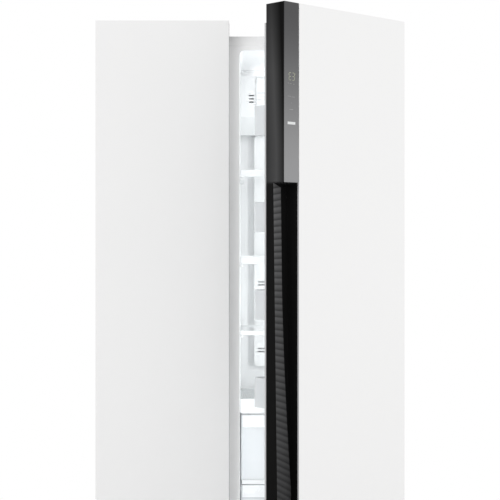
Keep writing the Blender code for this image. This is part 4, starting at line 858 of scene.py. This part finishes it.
def control_marks(door):
    """Generic lit figures and printed marks on the control strip."""
    front = DOOR_FRONT - 0.0002
    middle = door.free + door.way * 0.0262
    level = 1.5810
    left_strokes = ("top", "upper_left", "lower_left", "middle", "bottom")
    right_strokes = ("top", "upper_right", "middle", "lower_right", "bottom")
    lit = digit(middle - 0.0045, level, front, left_strokes)
    lit += digit(middle + 0.0080, level, front, right_strokes)
    lit.append(mark(0.0018, 0.0018, middle + 0.0150, level + 0.0080, front))
    figures = merge(door.node("lit_figures"), *lit)
    polish(figures)
    door.fit(figures, "panel_glass", look=LIT_DIGITS)
    dim = [
        mark(width, tall, middle + across, up, front)
        for width, tall, across, up in (
            (0.0050, 0.0012, -0.0110, 1.5620),
            (0.0060, 0.0012, -0.0020, 1.5612),
            (0.0050, 0.0012, 0.0100, 1.5605),
            (0.0140, 0.0012, -0.0070, 1.5262),
            (0.0120, 0.0014, 0.0075, 1.5250),
            (0.0030, 0.0010, 0.0010, 1.5080),
            (0.0150, 0.0020, 0.0000, 1.4900),
        )
    ]
    faint = merge(door.node("dim_marks"), *dim)
    polish(faint)
    door.fit(faint, "panel_glass", look=DIM_PRINT)
    bar = mark(0.0300, 0.0072, middle + 0.0006, 1.4527, front)
    bar.name = door.node("start_button")
    polish(bar)
    door.fit(bar, "panel_glass", look=WHITE_PRINT)


def edge_mouldings():
    """The black mouldings on both free edges, with every corner eased."""
    for door in (RIGHT, LEFT):
        node = door.node("edge_trim")
        moulding = fine_copy(node)
        polish(moulding, 0.0012, 3)
        remember_place(moulding, door.swings)
        fit(moulding, door.body, "black_moulding", node)


def back_bead(door):
    """The moulding's narrow bead that covers the side of the seal."""
    bead = slab(
        door.node("edge_bead"),
        door.span(door.free, door.free + door.way * 0.0026),
        (DOOR_BACK - 0.001, DOOR_BACK + 0.0022),
        DOOR_Z,
    )
    polish(bead, 0.0006, 2)
    door.fit(bead, "black_moulding")


def channel_lip(door):
    """The turned-in edge of the front sheet beside the grip channel, coloured grey as painted shade on the sheet's
    rounded edge.
    """
    start = door.free + door.way * (STRIP_WIDTH + STRIP_SEAM)
    x = door.span(start, start + door.way * 0.0008)
    lip = slab(
        door.node("channel_lip"),
        (x[0] - 0.0003, x[1] - 0.0004),
        (DOOR_FRONT + 0.0016, DOOR_FRONT + EDGE_RETURN),
        (DOOR_Z[0] + 0.001, STRIP_BOTTOM),
    )
    polish(lip, 0.0002, 1)
    door.fit(lip, "door_paint", look=EDGE_SHADE_GREY)


def build_doors():
    door_skin(RIGHT, RIGHT_FREE + STRIP_WIDTH + STRIP_SEAM, EDGE_RETURN)
    door_skin(LEFT, LEFT_FREE, LEFT_RETURN)
    edge_mouldings()
    control_strip(RIGHT)
    control_marks(RIGHT)
    grip_ribs(RIGHT)
    channel_lip(RIGHT)
    back_bead(RIGHT)
    for door, bins in ((RIGHT, 4), (LEFT, 3)):
        door_ends(door)
        door_inside(door)
        door_seal(door)
        door_bins(door, bins)


# ---------------------------------------------------------------- cabinet


def finish_node(node, edge, steps=2):
    """A CAD node whose shape is right, with its edges rounded."""
    obj = fine_copy(node)
    polish(obj, edge, steps)
    fit(obj, BODY_OF[node], SLOT_OF[node], node)


def rim():
    """The grey frame round both openings, with the seam of its top rail."""
    frame_face = fine_copy("front_rim")
    seam = slab("seam", (-HALF - 0.01, HALF + 0.01), (-0.002, 0.0007), RAIL_SEAM_Z)
    carve(frame_face, seam)
    polish(frame_face, 0.0008, 2)
    fit(frame_face, "cabinet", "rim_paint", "front_rim")


def cabinet_skins():
    finish_node("outer_cabinet", 0.0006)
    finish_node("back_panel", 0.0004)
    finish_node("top_cover", 0.0015, 3)
    finish_node("toe_grille", 0.0008)
    rim()
    finish_node("cabinet_foam", 0.0)
    finish_node("base_pan", 0.0006)
    for node in ("top_hinge_right", "top_hinge_left", "bottom_hinge_right", "bottom_hinge_left"):
        finish_node(node, 0.0006)


def screw(name, place, radius=0.0035, axis=(0, 0, 1)):
    """A domed screw head with a cross recess."""
    axis = Vector(axis)
    place = Vector(place)
    head = rod(name, place, place + axis * radius * 0.55, radius, 20)
    side = axis.orthogonal().normalized()
    for way in (side, axis.cross(side)):
        reach = way * radius * 0.62
        half = axis.cross(way) * radius * 0.13
        low = place - reach - half + axis * radius * 0.25
        high = place + reach + half + axis * radius
        pairs = [(min(low[i], high[i]), max(low[i], high[i])) for i in range(3)]
        carve(head, slab("cross", *pairs))
    polish(head, radius * 0.12, 2)
    fit(head, "cabinet", "steel")


def panel_screws():
    """Screws along the back panel and on the hinge housings."""
    back_x, _, back_z = spans("back_panel")
    y = CABINET_BACK - 0.0002
    step = (back_z[1] - back_z[0] - 0.06) / 6
    for row in range(7):
        for index, x in enumerate(grown(back_x, -0.012)):
            place = (x, y - 0.002, back_z[0] + 0.03 + row * step)
            screw(f"back_screw_{row}_{index}", place, axis=(0, 1, 0))
    cover_x, cover_y, cover_z = spans("top_cover")
    for row, share in enumerate((0.25, 0.75)):
        for index, x in enumerate(grown(cover_x, -0.034)):
            y = between(*cover_y, share)
            screw(f"cover_screw_{row}_{index}", (x, y, cover_z[1] - 0.0005), 0.003)


def stand():
    for side in ("left", "right"):
        finish_node(f"levelling_foot_{side}", 0.0008)
    finish_node("rear_rollers", 0.0010)


# ---------------------------------------------------------------- inside


def liners():
    for node in ("fridge_liner", "freezer_liner"):
        finish_node(node, 0.0015, 3)
    duct_head()
    finish_node("fridge_duct_column", 0.0010, 2)
    finish_node("freezer_duct_cover", 0.0006)
    finish_node("fridge_lamp", 0.0006)
    finish_node("air_damper", 0.0003)


def duct_head():
    """The cold-air outlet's housing, with its lower part cut back in a slope."""
    head = fine_copy("fridge_duct_head")
    x, y, z = spans("fridge_duct_head")
    depth, height = (y[0] - 0.030, y[0] + 0.0015), (z[0] - 0.02, z[0] + 0.052)
    wedge = slab("wedge", grown(x, 0.01), depth, height)
    for vert in wedge.data.vertices:
        if vert.co.z - ORIGIN.z < z[0] and vert.co.y - ORIGIN.y > y[0]:
            vert.co.y += 0.010
        elif vert.co.y - ORIGIN.y > y[0]:
            vert.co.y -= 0.0014
    carve(head, wedge)
    polish(head, 0.0009, 3, angle=6)
    fit(head, "cabinet", "liner", "fridge_duct_head")


def shelf_supports(node, room):
    """The moulded ledges on both walls that a shelf rests on."""
    _, y, z = spans(node)
    for side, wall, way in (("left", room[0], 1), ("right", room[1], -1)):
        ledge = slab(
            f"{node}_support_{side}",
            (min(wall, wall + way * 0.009), max(wall, wall + way * 0.009)),
            (y[0] + 0.020, y[1] - 0.020),
            (z[0] - 0.0095, z[0] - GAP),
        )
        polish(ledge, 0.0022, 3)
        fit(ledge, "cabinet", "liner")


def shelf(node):
    """A glass pane in a white front trim, with a bright lip over its back edge."""
    trim_depth, seat = SHELF_TRIM, SHELF_TRIM / 2
    x, y, z = spans(node)
    pane = slab(node + "_pane", x, (y[0] + seat, y[1]), (z[1] - 0.004, z[1]))
    polish(pane, 0.0008, 2)
    fit(pane, "cabinet", "shelf_glass", node)
    trim = slab(node + "_front_trim", x, (y[0], y[0] + trim_depth), z)
    room = (y[0] + seat - GAP, y[1])
    carve(trim, slab("seat", grown(x, 0.01), room, (z[1] - 0.0043, z[1] + 0.01)))
    front = y[0] + ORIGIN.y
    select(trim, "EDGE", lambda edge: all(abs(vert.co.y - front) < 0.0001 for vert in edge.verts))
    bpy.ops.mesh.bevel(offset=min(0.003, (z[1] - z[0]) * 0.2), segments=4, affect="EDGES")
    close_edit()
    polish(trim, 0.0006, 2)
    fit(trim, "cabinet", "shelf_glass", node, look=WHITE_TRIM)
    back = slab(
        node + "_back_trim",
        grown(x, -0.001),
        (y[1] - 0.008, y[1] - 0.0005),
        (z[1] - 0.0052, z[1] + 0.0012),
    )
    polish(back, 0.0008, 2)
    fit(back, "cabinet", "shelf_glass", look=WHITE_TRIM)


def shelves():
    for node in (
        "fridge_shelf_top", "fridge_shelf_middle", "fridge_shelf_bottom", "crisper_cover",
        "freezer_shelf_top", "freezer_shelf_bottom", "freezer_drawer_cover",
    ):
        shelf(node)
    for node in ("fridge_shelf_top", "fridge_shelf_middle", "fridge_shelf_bottom"):
        shelf_supports(node, FRIDGE_X)
    for node in ("freezer_shelf_top", "freezer_shelf_bottom"):
        shelf_supports(node, FREEZER_X)


def drawer(node):
    """A frosted drawer with a bright pull along the top of its front."""
    finish_node(node, 0.0014, 3)
    x, y, z = spans(node)
    pull = slab(
        node + "_pull",
        grown(x, -0.0305),
        (y[0] + 0.0043, y[0] + 0.0125),
        (z[1] - 0.0225, z[1] - 0.0005),
    )
    select(pull, "FACE", facing((0, 0, -1)))
    bpy.ops.mesh.inset(thickness=0.0018)
    bpy.ops.mesh.extrude_region_move(TRANSFORM_OT_translate={"value": (0, 0, 0.014)})
    close_edit()
    polish(pull, 0.0010, 3)
    fit(pull, BODY_OF[node], "drawer_plastic", look=WHITE_TRIM)
    band = slab(
        node + "_band",
        grown(x, -0.004),
        (y[0] - 0.0022, y[0] + 0.001),
        (z[1] - 0.038, z[1] - 0.001),
    )
    polish(band, 0.0014, 3)
    fit(band, BODY_OF[node], "drawer_plastic", look=WHITE_TRIM)


def gap_rail(name, above, below):
    """The white rail that fills the gap over a drawer, just behind the drawer's front."""
    x, y, z = spans(below)
    height = (z[1] + 0.0012, spans(above)[2][0] - 0.0008)
    rail = slab(name, grown(x, -0.002), (y[0] + 0.004, y[0] + 0.012), height)
    polish(rail, 0.0008, 2)
    fit(rail, "cabinet", "liner")


def drawers():
    for room in ("crisper", "freezer"):
        drawer(room + "_drawer_upper")
        drawer(room + "_drawer_lower")
    gap_rail("crisper_upper_rail", "crisper_cover", "crisper_drawer_upper")
    gap_rail("crisper_lower_rail", "crisper_drawer_upper", "crisper_drawer_lower")
    gap_rail("freezer_upper_rail", "freezer_drawer_cover", "freezer_drawer_upper")
    gap_rail("freezer_lower_rail", "freezer_drawer_upper", "freezer_drawer_lower")


# ---------------------------------------------------------------- machinery


def tube(name, radius, *points):
    """A bent round pipe through some places."""
    path = bpy.data.curves.new(name, "CURVE")
    path.dimensions = "3D"
    path.bevel_depth = radius
    path.bevel_resolution = 3
    path.resolution_u = 8
    path.use_fill_caps = True
    line = path.splines.new("NURBS")
    line.points.add(len(points) - 1)
    for knot, place in zip(line.points, points):
        knot.co = (*(Vector(place) + ORIGIN), 1)
    line.order_u = 3
    line.use_endpoint_u = True
    obj = bpy.data.objects.new(name, path)
    bpy.context.scene.collection.objects.link(obj)
    activate(obj)
    bpy.ops.object.convert(target="MESH")
    return bpy.context.object


def compressor_details():
    """The compressor's pipes, terminal box, seam and rubber mounts."""
    x, y, z = spans("compressor")
    middle_x, middle_y = sum(x) / 2, sum(y) / 2
    ceiling = spans("condenser_fan_bracket")[2][1]
    radius = COMPRESSOR_RADIUS
    pipe_x = middle_x + radius + 0.026
    for name, across, start, width in (
        ("suction_pipe", -0.022, z[1] - 0.105, 0.0040),
        ("discharge_pipe", 0.022, z[1] - 0.130, 0.0030),
    ):
        place = middle_y + across
        inside = (middle_x + radius * 0.85, place, start)
        pipe = tube(
            name, width, inside, (pipe_x - 0.02, place, start), (pipe_x, place, start),
            (pipe_x, place, start + 0.02), (pipe_x, place, ceiling),
        )
        polish(pipe, angle=60)
        fit(pipe, "cabinet", "coil_aluminium", look=COPPER)
    box_x = middle_x - radius
    box = slab(
        "terminal_box",
        (box_x - 0.018, box_x + 0.004),
        grown((middle_y, middle_y), 0.021),
        (z[1] - 0.110, z[1] - 0.058),
    )
    polish(box, 0.003, 3)
    fit(box, "cabinet", "black_plastic")
    bpy.ops.mesh.primitive_torus_add(
        location=Vector((middle_x, middle_y, z[1] - 0.075)) + ORIGIN, major_radius=radius - 0.0008,
        minor_radius=0.0022, major_segments=48, minor_segments=8,
    )
    seam = settle("compressor_seam")
    polish(seam, angle=60)
    fit(seam, "cabinet", "black_paint")
    for index, (across, along) in enumerate(((-1, -1), (-1, 1), (1, -1), (1, 1))):
        foot = (middle_x + across * COMPRESSOR_FEET[0], middle_y + along * COMPRESSOR_FEET[1])
        mount = rod(f"rubber_mount_{index}", (*foot, z[0] + 0.001), (*foot, z[0] + 0.0165), 0.0115)
        polish(mount, 0.002, 3)
        fit(mount, "cabinet", "black_plastic", look=RUBBER)


def machinery():
    finish_node("compressor", 0.0012, 3)
    compressor_details()
    finish_node("condenser_coil", 0.0)
    finish_node("condenser_fan_bracket", 0.0004)
    finish_node("condenser_fan", 0.0005)
    finish_node("evaporator_fan", 0.0004)
    finish_node("drain_pan", 0.0008)
    finish_node("rear_cover", 0.0006)
    finish_node("mains_inlet", 0.0006)
    finish_node("evaporator", 0.0)


# ---------------------------------------------------------------- studio

CAMERA_PLACE = (0.0045, -4.192, 1.104)
CAMERA_LENS_MM = 99.6
FLOOR_RADIUS = 1.75


def floor():
    """A pale round floor that fades out towards its edge."""
    bpy.ops.mesh.primitive_circle_add(
        vertices=96, radius=FLOOR_RADIUS, fill_type="NGON", location=(0, 0, -0.0005)
    )
    disc = settle("studio_floor")
    look = Look("pale_floor", Specular_IOR_Level=0.2)
    look.material.surface_render_method = "BLENDED"
    here = look.node("ShaderNodeTexCoord", {}, {}, "Object")
    distance = look.node("ShaderNodeVectorMath", {"operation": "LENGTH"}, {0: here}, "Value")
    fade = look.contrast(distance, 1.70, 0.85)
    look.feed(look.shader.inputs["Alpha"], fade)
    base = look.tint(look.noise(60.0, 3.0), (0.86, 0.86, 0.86), (0.88, 0.88, 0.88))
    disc.data.materials.append(look.finish(base, 0.6))


def soft_light(name, place, aim, size, watts):
    lamp = bpy.data.lights.new(name, "AREA")
    lamp.shape = "RECTANGLE"
    lamp.size, lamp.size_y = size
    lamp.energy = watts
    obj = bpy.data.objects.new(name, lamp)
    bpy.context.scene.collection.objects.link(obj)
    obj.location = Vector(place) + ORIGIN
    obj.rotation_euler = (Vector(aim) - Vector(place)).to_track_quat("-Z", "Y").to_euler()
    obj.visible_camera = False


def studio():
    """A white surround, with small lights inside the fridge where its own lamp shines."""
    floor()
    world = bpy.data.worlds.new("white_studio")
    world.use_nodes = True
    world.node_tree.nodes["Background"].inputs["Color"].default_value = (1, 1, 1, 1)
    world.node_tree.nodes["Background"].inputs["Strength"].default_value = 1.0
    bpy.context.scene.world = world
    bpy.context.scene.view_settings.view_transform = "Standard"
    mid = sum(FRIDGE_X) / 2
    side = FRIDGE_X[1] - 0.02
    inward = side - 0.30
    soft_light("fridge_ceiling_light", (mid, 0.06, 1.700), (mid, 0.30, 1.0), (0.36, 0.05), 0.3)
    soft_light("fridge_side_light", (side, 0.055, 0.92), (inward, 0.36, 0.92), (0.09, 1.52), 2.7)
    soft_light("fridge_low_light", (side, 0.055, 0.78), (inward, 0.36, 0.78), (0.09, 0.42), 1.1)
    for node in ("crisper_drawer_upper", "crisper_drawer_lower"):
        top = spans(node)[2][1] - 0.004
        soft_light(node + "_light", (mid, 0.26, top), (mid, 0.22, 0.0), (0.34, 0.24), 0.45)
    soft_light("duct_top_light", (mid, 0.43, 1.705), (mid, 0.475, 1.60), (0.36, 0.03), 0.12)
    soft_light("gap_light", (-0.004, -0.068, 0.92), (-0.008, 0.0, 0.92), (0.08, 1.66), 0.45)


def camera():
    """Level, facing the front, a little over four metres away."""
    lens = bpy.data.cameras.new("camera")
    lens.lens = CAMERA_LENS_MM
    lens.sensor_width = 36.0
    obj = bpy.data.objects.new("camera", lens)
    bpy.context.scene.collection.objects.link(obj)
    obj.location = ORIGIN + Vector(CAMERA_PLACE)
    obj.rotation_euler = (math.radians(90), 0, 0)
    bpy.context.scene.camera = obj


camera()
studio()
build_doors()
cabinet_skins()
panel_screws()
stand()
liners()
shelves()
drawers()
machinery()
